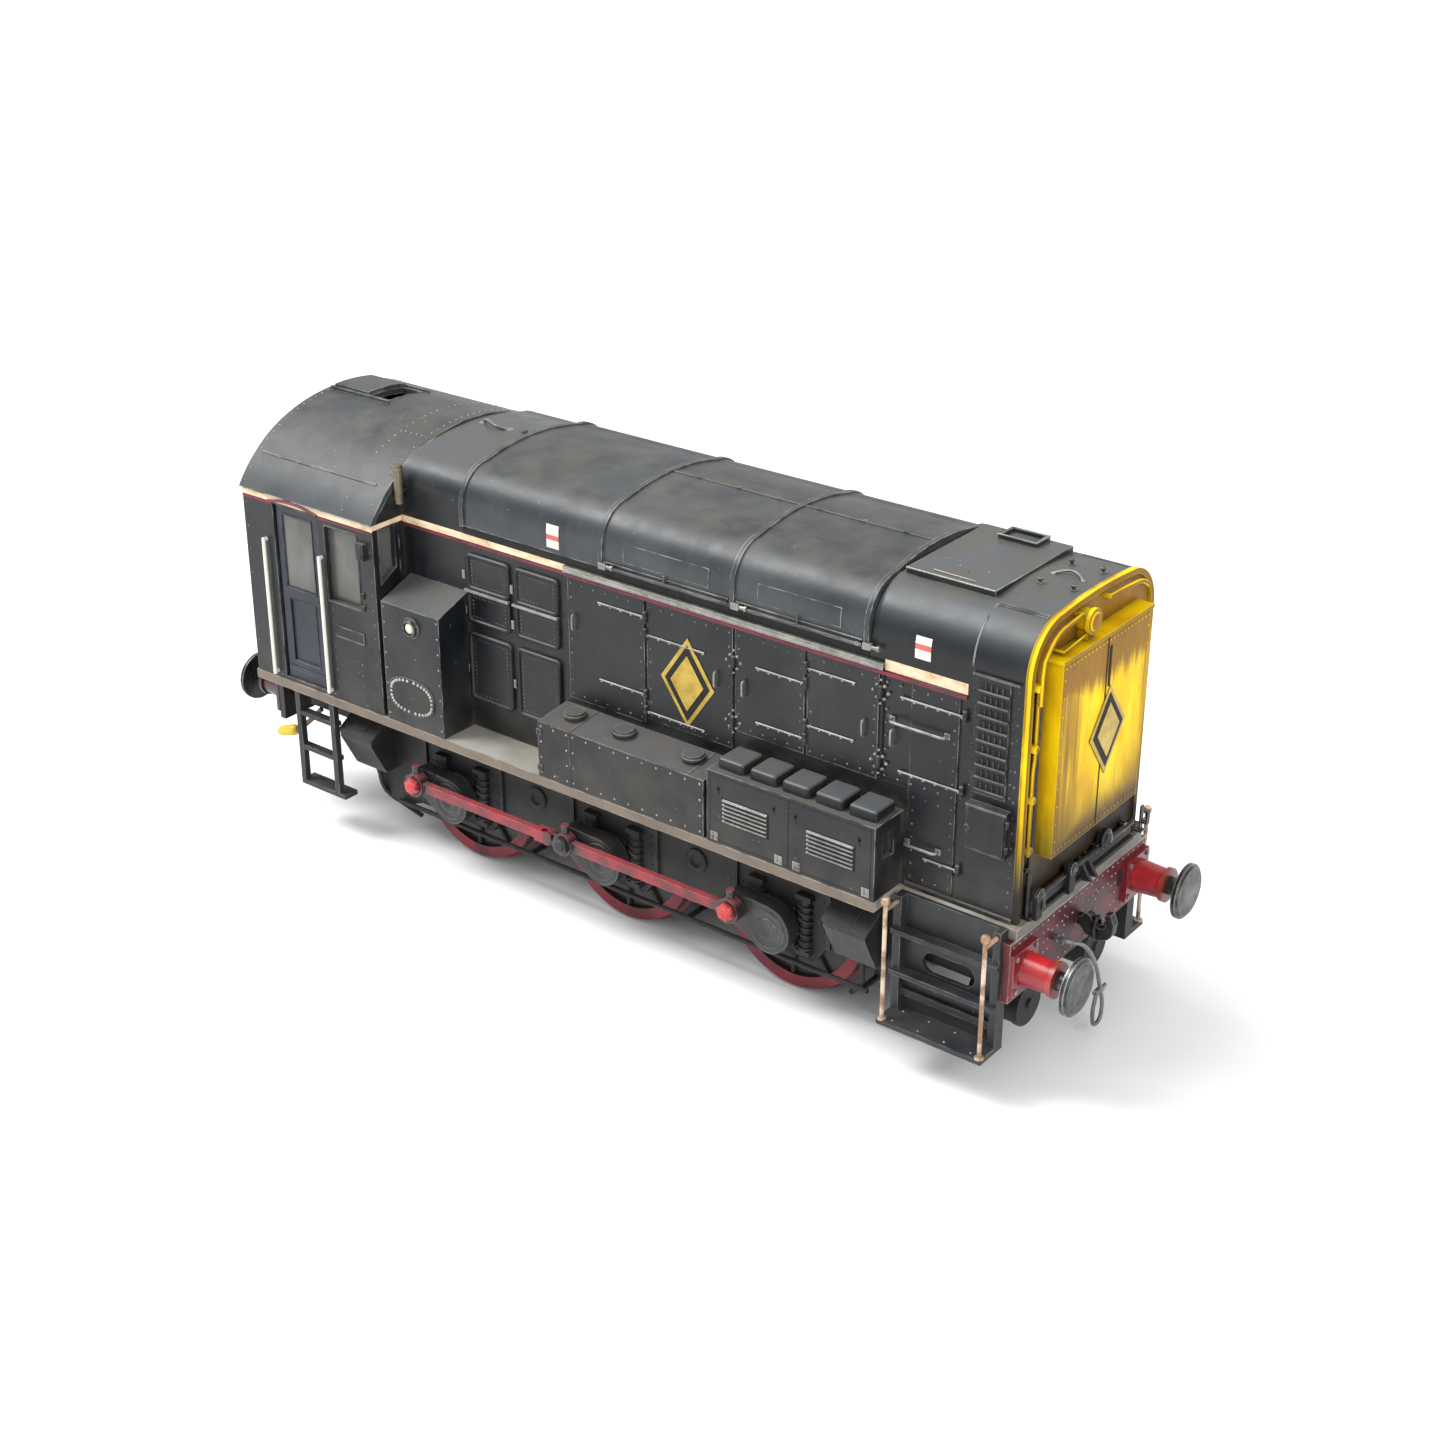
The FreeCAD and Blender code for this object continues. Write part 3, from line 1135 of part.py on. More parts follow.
def make_handrails():
    rails = [hand_rail("handrail_rear", -84.3, S.rail_side, (34.2, 64.7), S.cab_half),
             hand_rail("handrail_front", -67.9, S.rail_side, (34.4, 64.6), S.cab_half),
             step_rail("step_rail_rear", S.step_rear + 0.8),
             step_rail("step_rail_front", S.step_front - 0.7)]
    return group("handrails", *(rails + [other_side(rail) for rail in rails]))


def make_decoder_board():
    name = "decoder_board"
    board = box(name + "_board", (-4, 42), (-10, 10), (52.0, 53.2))
    pillars = [rod("%s_pillar_%d" % (name, index), "Z", 2.0, (S.footplate_bottom, 52.5), (x, 0))
               for index, x in enumerate((16.0, 38.0))]
    chips = [box(name + "_chip", (0, 12), (-5, 5), (53.0, 55.0)),
             box(name + "_plug", (24, 36), (-7, -3), (53.0, 57.0))]
    return join(name, board, *(pillars + chips))


# ---------------------------------------------------------------- brake hose

def hose_route():
    """Corner points of the stiff dummy hose, from the beam down to its loop and back."""
    front = 94.4
    start = FreeCAD.Vector(SIZES["beam_face"], -9.4, 26.0)
    hanging = ((-9.4, 26.0), (-5.3, 23.9), (-1.8, 20.6), (1.3, 16.2), (3.2, 11.0), (5.0, 6.4),
               (4.6, 2.9), (1.9, 2.7), (1.2, 6.0), (2.3, 9.8))
    return [start] + [FreeCAD.Vector(front, y, z) for y, z in hanging]


def bent_path(points):
    """Straight runs joined by tangent arcs as large as the shorter run allows."""
    edges = []
    start = points[0]
    for before, corner, after in zip(points, points[1:], points[2:]):
        inward, outward = (corner - before), (after - corner)
        turn = inward.getAngle(outward)
        reach = 0.45 * min(inward.Length, outward.Length)
        radius = reach / math.tan(turn / 2)
        inward.normalize()
        outward.normalize()
        enter, leave = corner - inward * reach, corner + outward * reach
        bisector = (outward - inward).normalize()
        centre = corner + bisector * (radius / math.cos(turn / 2))
        middle = centre - bisector * radius
        edges += [Part.LineSegment(start, enter).toShape(),
                  Part.Arc(enter, middle, leave).toShape()]
        start = leave
    edges.append(Part.LineSegment(start, points[-1]).toShape())
    return Part.Wire(edges)


def make_brake_hose():
    points = hose_route()
    path = bent_path(points)
    radius = SIZES["hose_radius"]
    section = Part.Wire([Part.makeCircle(radius, points[0], points[1] - points[0])])
    tube = path.makePipeShell([section], True, True)
    print("hose length %.2f, volume %.3f, expected %.3f"
          % (path.Length, tube.Volume, math.pi * radius ** 2 * path.Length))
    across = (points[-1].x, 9.8)
    tee = rod("brake_hose_tee", "Y", 0.6, (1.7, 4.3), across)
    nozzle = rod("brake_hose_nozzle", "Y", 0.35, (4.2, 5.6), across)
    gland = rod("brake_hose_gland", "X", 0.65, (S.beam_face, S.beam_face + 1.1), (-9.4, 26.0))
    return join("brake_hose", solid("brake_hose_tube", tube), tee, nozzle, gland)


# ---------------------------------------------------------------- assembly

def make_all():
    nodes = [make_chassis_block(), make_keeper_plate(), make_body_screws(), make_frame_plates(),
             make_footplate(), make_motor_can(), make_motor_shaft(), make_flywheel(), make_gear()]
    for axle in AXLES:
        nodes += [make_axle(axle), make_wheels(axle), make_cranks(axle)]
    for side in (RIGHT, LEFT):
        nodes += [make_front_rod(side), make_rear_rod(side)]
    beam, hook = make_beam_front(), make_drawhook()
    nodes += [beam, mirror("beam_rear", beam, (1, 0, 0)), make_buffer_housings(), hook,
              mirror("drawhook_rear", hook, (1, 0, 0))]
    nodes += four_corners("buffer_head", make_buffer_head())
    nodes += [make_buffer_spring(end, side) for end in ("front", "rear")
              for side in (RIGHT, LEFT)]
    door = make_cab_door()
    nodes += [make_cab_shell(), make_cab_roof(), make_roof_hatch(), door,
              mirror("cab_door_left", door, (0, 1, 0)), make_cab_glazing(), make_cab_interior(),
              make_whistle(), make_bonnet_shell(), make_bonnet_cover(), make_bonnet_doors(),
              make_radiator(), make_headlamp(), make_nose_pipework(), make_tall_boxes(),
              make_fuel_tanks(), make_battery_boxes(), make_front_steps(), make_rear_ladders(),
              make_sand_boxes(), make_air_vessels(), make_brake_gear(), make_handrails(),
              make_decoder_board(), make_brake_hose()]
    return nodes


def check(nodes):
    failed = [item.Name for item in doc.Objects
              if "Invalid" in item.State or "Error" in item.State]
    bad = [item.Name for item in nodes if item.Shape.isNull() or not item.Shape.isValid()
           or not item.Shape.Solids]
    if failed or bad:
        raise RuntimeError("failed: %s; bad shapes: %s" % (failed, bad))


def main():
    nodes = make_all()
    doc.recompute()
    check(nodes)
    os.makedirs("parts", exist_ok=True)
    for item in nodes:
        item.Label = item.Name
        item.Shape.exportStep(os.path.join("parts", item.Name + ".step"))
    print("%d nodes, %d solids" % (len(nodes), sum(len(item.Shape.Solids) for item in nodes)))


main()
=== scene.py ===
import itertools
import json
import math

import bmesh
import bpy
from mathutils import Matrix, Vector

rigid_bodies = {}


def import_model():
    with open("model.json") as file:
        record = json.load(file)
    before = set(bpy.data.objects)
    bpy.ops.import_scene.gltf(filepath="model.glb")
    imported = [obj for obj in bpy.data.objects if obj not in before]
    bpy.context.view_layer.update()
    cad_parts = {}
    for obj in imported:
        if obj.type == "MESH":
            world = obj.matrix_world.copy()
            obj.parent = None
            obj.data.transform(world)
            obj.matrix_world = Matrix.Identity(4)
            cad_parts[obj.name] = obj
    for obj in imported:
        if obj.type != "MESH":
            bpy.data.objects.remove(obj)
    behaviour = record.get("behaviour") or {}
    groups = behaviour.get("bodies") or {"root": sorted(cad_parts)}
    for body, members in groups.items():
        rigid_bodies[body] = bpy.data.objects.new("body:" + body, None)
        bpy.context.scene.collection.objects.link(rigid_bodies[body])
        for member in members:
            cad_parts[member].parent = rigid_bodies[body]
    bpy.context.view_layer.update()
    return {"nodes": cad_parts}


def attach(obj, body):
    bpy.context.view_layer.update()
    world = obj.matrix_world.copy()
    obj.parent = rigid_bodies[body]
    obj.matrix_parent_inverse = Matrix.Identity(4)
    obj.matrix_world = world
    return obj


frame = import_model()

# Sizes below are in millimetres in the row frame; MM turns them into metres.
MM = 0.001
NODES = frame["nodes"]
SIDES, ONCE = (-1, 1), (1,)
FORWARD, BACKWARD, OUT, UP = (1, 0, 0), (-1, 0, 0), (0, 1, 0), (0, 0, 1)

CAB_HALF, BONNET_HALF, COVER_HALF, BOX_HALF = 29.1, 20.7, 21.0, 29.3
DOOR_FACE = 21.05
RADIATOR_FACE, BEAM_FACE = 92.6, 91.0
FRAME_FACE = 20.8
AXLES = {"rear": -39.3, "middle": 1.0, "front": 41.3}
AXLE_HEIGHT = 16.65
CRANK_THROW = 7.66
CRANK_ANGLE = {-1: 162.5, 1: 72.5}
# An arch is its half width, the height where its sides end, the shoulder radius and the rise.
COVER_ARCH = (COVER_HALF, 79.9, 7.4, 1.7)
NOSE_ARCH = (BONNET_HALF, 78.5, 9.0, 0.6)
# The cab roof: the crown's radius and half width, then the side arcs' radius and centre.
ROOF_CROWN, ROOF_CROWN_HALF, ROOF_TOP = 42.0, 14.0, 86.5
ROOF_CENTRE = ROOF_TOP - math.sqrt(ROOF_CROWN ** 2 - ROOF_CROWN_HALF ** 2)
ROOF_SIDE, ROOF_SIDE_CENTRE = 30.0, (4.23, 58.14)


# ---------------------------------------------------------------- node graphs

def srgb(colour):
    """An 8-bit display colour as the linear colour that shaders take."""
    def linear(value):
        value /= 255.0
        return value / 12.92 if value <= 0.04045 else ((value + 0.055) / 1.055) ** 2.4
    return tuple(linear(value) for value in colour) + (1.0,)


class Field:
    """A socket of a node graph; arithmetic on it adds math nodes to the graph."""

    def __init__(self, graph, socket):
        self.graph, self.socket = graph, socket

    def __add__(self, other):
        return self.graph.math("ADD", self, other)

    def __sub__(self, other):
        return self.graph.math("SUBTRACT", self, other)

    def __rsub__(self, other):
        return self.graph.math("SUBTRACT", other, self)

    def __mul__(self, other):
        return self.graph.math("MULTIPLY", self, other)

    def __abs__(self):
        return self.graph.math("ABSOLUTE", self)


class Graph:
    """A material's node graph, painted coat by coat. Colours are 8-bit display colours."""

    def __init__(self, name):
        self.material = bpy.data.materials.new(name)
        self.material.use_nodes = True
        self.tree = self.material.node_tree
        self.shader = self.tree.nodes["Principled BSDF"]
        self.place = self.field("ShaderNodeTexCoord", {}, "Object")
        self.plain = self.field("ShaderNodeNewGeometry", {}, "Normal")
        self.x, self.y, self.z = self.split(self.place)
        self.facing_x, self.facing_y, self.facing_z = self.split(self.plain)
        self.colour = None

    def add(self, kind, inputs, **settings):
        node = self.tree.nodes.new(kind)
        for key, value in settings.items():
            setattr(node, key, value)
        for key, value in inputs.items():
            self.plug(value, node.inputs[key])
        return node

    def plug(self, value, socket):
        if isinstance(value, Field):
            self.tree.links.new(value.socket, socket)
        else:
            socket.default_value = value

    def field(self, kind, inputs, output=0, **settings):
        return Field(self, self.add(kind, inputs, **settings).outputs[output])

    def split(self, vector):
        node = self.add("ShaderNodeSeparateXYZ", {"Vector": vector})
        return [Field(self, socket) for socket in node.outputs]

    def math(self, operation, first, second=0.0):
        return self.field("ShaderNodeMath", {0: first, 1: second}, operation=operation)

    def step(self, value, low, high):
        """0 below low and 1 above high, smoothly between; low may be above high."""
        return self.field("ShaderNodeMapRange", {"Value": value, "From Min": low,
                                                 "From Max": high}, "Result",
                          interpolation_type="SMOOTHSTEP")

    def span(self, place, low, high):
        """A step along a place or a distance, with its ends in millimetres."""
        return self.step(place, low * MM, high * MM)

    def mix(self, factor, first, second):
        tones = [srgb(tone) if isinstance(tone, tuple) else tone for tone in (first, second)]
        return self.field("ShaderNodeMix", {0: factor, 6: tones[0], 7: tones[1]}, 2,
                          data_type="RGBA")

    def coat(self, cover, tone):
        """Paints over the colour so far, where cover is above 0."""
        self.colour = self.mix(cover, self.colour, tone)

    def noise(self, scale, stretch=(1, 1, 1), detail=4.0, roughness=0.55):
        moved = self.field("ShaderNodeMapping", {"Vector": self.place, "Scale": stretch})
        return self.field("ShaderNodeTexNoise", {"Vector": moved, "Scale": scale, "Detail": detail,
                                                 "Roughness": roughness})

    def edges(self, radius=0.35):
        """1 on edges and corners, 0 on flat ground."""
        bevel = self.field("ShaderNodeBevel", {"Radius": radius * MM}, samples=4)
        dot = self.field("ShaderNodeVectorMath", {0: bevel, 1: self.plain}, "Value",
                         operation="DOT_PRODUCT")
        return self.step(dot, 0.985, 0.86)

    def open_ground(self, distance=1.6):
        """1 in the open, towards 0 in corners."""
        open_sky = self.field("ShaderNodeAmbientOcclusion", {"Distance": distance * MM}, "AO",
                              samples=4)
        return self.step(open_sky, 0.45, 0.92)

    def corners(self, distance=1.6):
        return 1.0 - self.open_ground(distance)

    def finish(self, rough, metallic=0.0, bump=None, height=0.05, coat=0.0, specular=0.5):
        inputs = self.shader.inputs
        for socket, value in (("Base Color", self.colour), ("Roughness", rough),
                              ("Metallic", metallic), ("Coat Weight", coat),
                              ("Coat Roughness", 0.25), ("Specular IOR Level", specular)):
            self.plug(value, inputs[socket])
        if bump is not None:
            normal = self.field("ShaderNodeBump", {"Height": bump, "Strength": 0.6,
                                                   "Distance": height * MM}, "Normal")
            self.plug(normal, inputs["Normal"])
        return self.material


# ---------------------------------------------------------------- materials

def weathered(name, deep, pale, dust, worn, rough=0.42, dusty=0.5, wear=0.55, low=33.0, high=52.0,
              top_dust_and_sheen=0.5, blotch=0.2, specular=0.5, top_light_tone=None, after=None):
    """Paint with broad colour change, streaks, dust in corners and on top, with the dust on top
    also standing in for sheen, an optional lighter top tone painted as light from above, and worn
    edges.
    """
    g = Graph(name)
    g.colour = g.mix(g.step(g.noise(55.0, detail=3.0), 0.35, 0.68), deep, pale)
    g.coat(g.step(g.noise(420.0, (1, 1, 0.07), detail=3.0), 0.45, 0.75) * 0.35, pale)
    stain = g.step(g.noise(38.0, (1, 1, 0.6), detail=6.0, roughness=0.6), 0.48, 0.68)
    g.coat(stain * blotch, (56, 53, 48))
    # Upward faces painted lighter, as light falling from above.
    if top_light_tone:
        g.coat(g.step(g.facing_z, 0.15, 0.95) * 0.85, top_light_tone)
    if after:
        after(g)
    # Dust in corners and lower down is dust; on upward faces it is dust and also a painted sheen.
    dust_and_top_sheen = g.corners() * 0.55 + g.span(g.z, high, low) * 0.35
    dust_and_top_sheen += g.step(g.facing_z, 0.55, 1.0) * top_dust_and_sheen
    dust_and_top_sheen *= g.step(g.noise(140.0, detail=5.0), 0.28, 0.7)
    g.coat(dust_and_top_sheen * dusty, dust)
    rub = g.edges() * g.step(g.noise(260.0, detail=4.0), 0.38, 0.62)
    g.coat(rub * g.open_ground(0.8) * wear, worn)
    g.coat(g.step(g.noise(900.0, detail=2.0), 0.72, 0.78) * 0.25, worn)
    gloss = g.noise(240.0, detail=4.0) * 0.26 + (rough - 0.13) + dust_and_top_sheen * 0.25
    return g.finish(gloss, bump=g.noise(1500.0, detail=5.0, roughness=0.65), height=0.03,
                    specular=specular)


def rusty_edge(g):
    """Tan along the footplate's outer edge and darker on the deck before the nose."""
    rust = g.mix(g.noise(300.0, detail=5.0), (112, 88, 68), (70, 56, 46))
    g.coat(g.span(abs(g.y), 29.05, 29.25) * 0.85, rust)
    g.coat(g.span(g.x, 80.0, 86.0) * g.span(abs(g.y), 27.0, 20.0) * 0.7, (52, 50, 47))


def nose_yellow():
    """Bright in the middle of the radiator, browner outwards, sooty at the foot."""
    g = Graph("nose_yellow")
    streak = g.noise(900.0, (1, 1, 0.03), detail=4.0, roughness=0.7)
    patch = g.noise(120.0, (1, 1, 0.5), detail=5.0)
    yellow = g.mix(g.step(patch, 0.35, 0.7), (244, 204, 0), (206, 160, 4))
    ochre = g.mix(patch, (156, 112, 14), (92, 64, 20))
    across = g.span(abs(g.y - 3.0 * MM), 4.0, 16.0)
    up = g.span(abs(g.z - 60.0 * MM), 7.0, 19.0)
    face = g.step(g.facing_x, 0.6, 0.9)
    dull = g.math("MAXIMUM", across * 0.6, up) + (streak - 0.5) * 1.1
    trim = g.step(patch, 0.3, 0.55) * g.span(g.x, 89.6, 89.3)
    dull = g.math("MAXIMUM", g.step(dull, 0.12, 0.7) * face, trim * 0.85)
    g.colour = g.mix(dull, yellow, ochre)
    g.coat(g.span(g.z + streak * (16 * MM), 66.0, 49.0) * 0.85, (52, 46, 38))
    foot = g.span(g.z, 45.0, 38.0)
    g.coat(foot, (44, 42, 40))
    # Brown painted shade in the corners.
    g.coat(g.corners(2.2) * 0.6, (70, 50, 22))
    g.coat(g.edges() * g.open_ground(0.8) * (1.0 - foot) * 0.33, (240, 214, 60))
    ribs = abs(g.math("SINE", g.y * 3600.0)) * face * g.span(abs(g.y), 15.0, 14.6)
    return g.finish(g.noise(200.0) * 0.25 + 0.36, bump=ribs * 0.8 + g.noise(1500.0), height=0.06,
                    specular=0.15)


def beam_red():
    """Bright at the ends and blackened round the hook and along the foot; the rear one black."""
    g = Graph("beam_red")
    patch = g.noise(170.0, detail=6.0, roughness=0.65)
    g.colour = g.mix(g.step(patch, 0.3, 0.7), (104, 20, 30), (70, 18, 30))
    soot = g.span(abs(g.y), 17.0, 3.0) * 0.6 + g.span(g.z, 30.5, 22.0) * 0.35
    g.coat(soot * g.step(g.noise(300.0, detail=4.0), 0.25, 0.62), (30, 22, 28))
    # Dark red painted shade in the corners.
    g.coat(g.corners() * 0.7, (40, 18, 20))
    g.coat(g.edges() * g.step(g.noise(240.0), 0.36, 0.6) * 0.75, (190, 170, 160))
    g.coat(g.span(g.x, -80.0, -88.0) * 0.9, (20, 19, 20))
    return g.finish(g.noise(200.0) * 0.3 + 0.3, bump=g.noise(1500.0), height=0.03)


def buffer_red():
    """Glossy sleeves, browner at the tip, with painted shade on their undersides; the rear ones
    black.
    """
    g = Graph("buffer_red")
    reach = abs(g.x)
    g.colour = g.mix(g.step(g.noise(190.0, detail=5.0), 0.35, 0.68), (182, 34, 38), (140, 24, 32))
    g.coat(g.span(reach, 92.6, 91.9) * 0.8, (92, 22, 32))
    g.coat(g.span(reach, 97.2, 98.3) * g.step(g.noise(400.0), 0.3, 0.6) * 0.6, (124, 82, 50))
    # Painted shade on downward faces.
    g.coat(g.step(g.facing_z, 0.1, -0.8) * 0.5, (66, 16, 24))
    g.coat(g.edges() * g.step(g.noise(300.0), 0.4, 0.6) * 0.5, (214, 130, 120))
    g.coat(g.span(g.x, -80.0, -88.0) * 0.92, (22, 20, 20))
    return g.finish(g.noise(220.0) * 0.25 + 0.2, bump=g.noise(1300.0), height=0.02, coat=0.25)


def rod_red(side):
    """Oily red with black round the pins, which stand an axle spacing apart along the rods."""
    g = Graph("rod_red_right" if side < 0 else "rod_red_left")
    first_pin = AXLES["rear"] + CRANK_THROW * math.cos(math.radians(CRANK_ANGLE[side]))
    half_spacing = (AXLES["middle"] - AXLES["rear"]) / 2
    from_pin = g.math("PINGPONG", g.x - first_pin * MM, half_spacing * MM)
    patch = g.noise(260.0, detail=5.0)
    g.colour = g.mix(g.step(patch, 0.3, 0.7), (150, 20, 36), (92, 12, 26))
    g.coat(g.span((patch - 0.5) * (6.0 * MM) + from_pin, 5.4, 2.6), (40, 30, 32))
    # A paler painted highlight on upward faces.
    g.coat(g.step(g.facing_z, 0.5, 0.95) * 0.3, (206, 110, 116))
    g.coat(g.edges(0.25) * g.step(g.noise(420.0), 0.4, 0.6) * 0.5, (196, 150, 150))
    return g.finish(g.noise(300.0) * 0.25 + 0.18, bump=g.noise(1200.0), height=0.02, coat=0.3)


def wheel_paint(axle):
    """A crimson tyre round a sooty disc, with a polished tread."""
    g = Graph("wheel_" + axle)
    dx, dz = g.x - AXLES[axle] * MM, g.z - AXLE_HEIGHT * MM
    radius = g.math("SQRT", dx * dx + dz * dz)
    patch = g.noise(160.0, detail=5.0)
    crimson = g.mix(g.step(patch, 0.32, 0.7), (128, 8, 32), (80, 8, 22))
    black = g.mix(patch, (14, 13, 14), (36, 32, 30))
    g.colour = g.mix(g.span(radius, 13.3, 13.6), black, crimson)
    tread = g.span(radius, 15.5, 15.7) * (1.0 - g.step(abs(g.facing_y), 0.3, 0.6))
    g.coat(tread, (124, 120, 116))
    # Dark painted shade in the corners.
    g.coat(g.corners() * 0.6, (30, 22, 20))
    return g.finish(g.noise(240.0) * 0.3 + 0.25, metallic=tread * 0.9, bump=g.noise(1300.0),
                    height=0.02)


def metal(name, deep, pale, worn, rough=0.35, metallic=0.85, wear=0.6):
    """Plain or painted metal, patchy, with bright worn edges and brown painted shade in the
    corners.
    """
    g = Graph(name)
    patch = g.noise(260.0, detail=6.0, roughness=0.65)
    g.colour = g.mix(g.step(patch, 0.32, 0.7), deep, pale)
    g.coat(g.edges(0.3) * g.step(g.noise(320.0), 0.3, 0.6) * wear, worn)
    # Brown painted shade in the corners.
    g.coat(g.corners() * 0.6, (34, 28, 24))
    return g.finish(g.noise(380.0, detail=4.0) * 0.3 + (rough - 0.15), metallic=metallic,
                    bump=patch, height=0.03)


def rail_paint():
    """Off-white on the cab, worn to bare copper at the front steps."""
    g = Graph("rail_paint")
    patch = g.noise(300.0, detail=5.0)
    white = g.mix(patch, (208, 204, 192), (236, 232, 222))
    copper = g.mix(g.step(patch, 0.42, 0.6), (138, 104, 76), (206, 188, 164))
    g.colour = g.mix(g.span(g.x, 55.0, 62.0), white, copper)
    # Brown painted shade in the corners.
    g.coat(g.corners() * 0.5, (84, 72, 60))
    return g.finish(patch * 0.3 + 0.25, bump=patch, height=0.02)


def dusty_glass():
    g = Graph("dusty_glass")
    film = g.noise(90.0, (1, 1, 0.6), detail=6.0, roughness=0.6)
    g.colour = g.mix(g.step(film, 0.3, 0.72), (120, 118, 112), (74, 74, 72))
    g.coat(g.span(g.z, 60.0, 55.0) * 0.5, (92, 84, 72))
    g.plug(0.35, g.shader.inputs["Transmission Weight"])
    return g.finish(film * 0.4 + 0.1, bump=g.noise(700.0), height=0.01)


def cream_line():
    g = Graph("cream_lining")
    chip = g.noise(330.0, (0.5, 1, 1), detail=5.0, roughness=0.7)
    g.colour = g.mix(g.step(chip, 0.35, 0.7), (236, 214, 182), (206, 170, 130))
    g.coat(g.step(chip, 0.6, 0.72) * 0.7, (112, 88, 66))
    # Brown painted shade in the corners.
    g.coat(g.corners(0.8) * 0.35, (96, 70, 56))
    return g.finish(chip * 0.3 + 0.35, bump=chip, height=0.02)


def maroon_line():
    g = Graph("maroon_lining")
    chip = g.noise(360.0, (0.4, 1, 1), detail=5.0, roughness=0.7)
    g.colour = g.mix(g.step(chip, 0.35, 0.7), (118, 26, 46), (78, 22, 34))
    g.coat(g.step(chip, 0.55, 0.72) * 0.6, (46, 38, 38))
    return g.finish(chip * 0.3 + 0.35, bump=chip, height=0.02)


def label_white():
    """A blank white plate with one plain red bar across it."""
    g = Graph("blank_plate")
    stain = g.noise(420.0, detail=5.0)
    g.colour = g.mix(g.step(stain, 0.4, 0.75), (232, 224, 216), (196, 184, 172))
    g.coat(g.span(abs(g.z - 79.1 * MM), 0.55, 0.45) * 0.85, (186, 40, 36))
    return g.finish(stain * 0.3 + 0.4, bump=stain, height=0.01)


MATERIALS = {"nose_yellow": nose_yellow(), "beam_red": beam_red(), "buffer_red": buffer_red(),
             "rod_red_right": rod_red(-1), "rod_red_left": rod_red(1), "rail_wire": rail_paint(),
             "glazing": dusty_glass(), "cream": cream_line(), "maroon": maroon_line(),
             "label": label_white(),}
# Painted parts: material, deep and pale paint, dust, worn edges, then what differs.
for slot, name, deep, pale, dust, worn, settings in (("body_paint", "weathered_body", (9, 12, 17),
                                                      (26, 29, 32), (88, 82, 73), (168, 170, 166),
                                                      {"rough": 0.36, "dusty": 0.8, "wear": 0.62,
                                                       # The body's top tone and raised top dust
                                                       # paint the light on its upward faces.
                                                       "top_dust_and_sheen": 0.8, "blotch": 0.5,
                                                       "specular": 0.36, "top_light_tone": (82, 87,
                                                                                      90)}),
                                                     ("roof_paint", "weathered_roof", (32, 37, 43),
                                                      (58, 62, 64), (106, 100, 88),
                                                      (186, 188, 182), {"dusty": 0.7, "wear": 0.75,
                                                                        "low": 70, "high": 78}),
                                                     ("door_blue", "door_blue_black", (12, 18, 32),
                                                      (24, 33, 48), (60, 60, 58), (112, 122, 132),
                                                      {"wear": 0.6}), ("underframe",
                                                                       "sooty_underframe",
                                                                       (8, 8, 9), (22, 22, 22),
                                                                       (44, 37, 31),
                                                                       (116, 112, 104),
                                                                       {"rough": 0.6, "dusty": 0.6,
                                                                        "wear": 0.4, "low": 5,
                                                                        "high": 26}),
                                                     ("step_black", "step_black", (20, 23, 26),
                                                      (38, 41, 44), (70, 66, 60), (140, 142, 140),
                                                      {"rough": 0.5, "dusty": 0.6, "wear": 0.6,
                                                       "low": 5, "high": 20}),
                                                     ("footplate_grey", "footplate_grey",
                                                      (136, 136, 131), (172, 170, 162),
                                                      (150, 139, 121), (196, 182, 162),
                                                      {"rough": 0.5, "dusty": 0.55, "wear": 0.8,
                                                       "after": rusty_edge}),
                                                     ("crank_black", "crank_black", (24, 26, 26),
                                                      (48, 50, 49), (60, 50, 42), (150, 152, 146),
                                                      {"rough": 0.34, "wear": 0.6, "low": 2,
                                                       "high": 20}), ("interior", "interior_grey",
                                                                      (70, 74, 70), (92, 96, 90),
                                                                      (70, 62, 52), (150, 150,
                                                                                     144),
                                                                      {"rough": 0.6}),
                                                     ("circuit", "circuit_green", (16, 62, 40),
                                                      (24, 84, 52), (40, 50, 40), (190, 180, 120),
                                                      {"rough": 0.4, "dusty": 0.2})):
    MATERIALS[slot] = weathered(name, deep, pale, dust, worn, **settings)
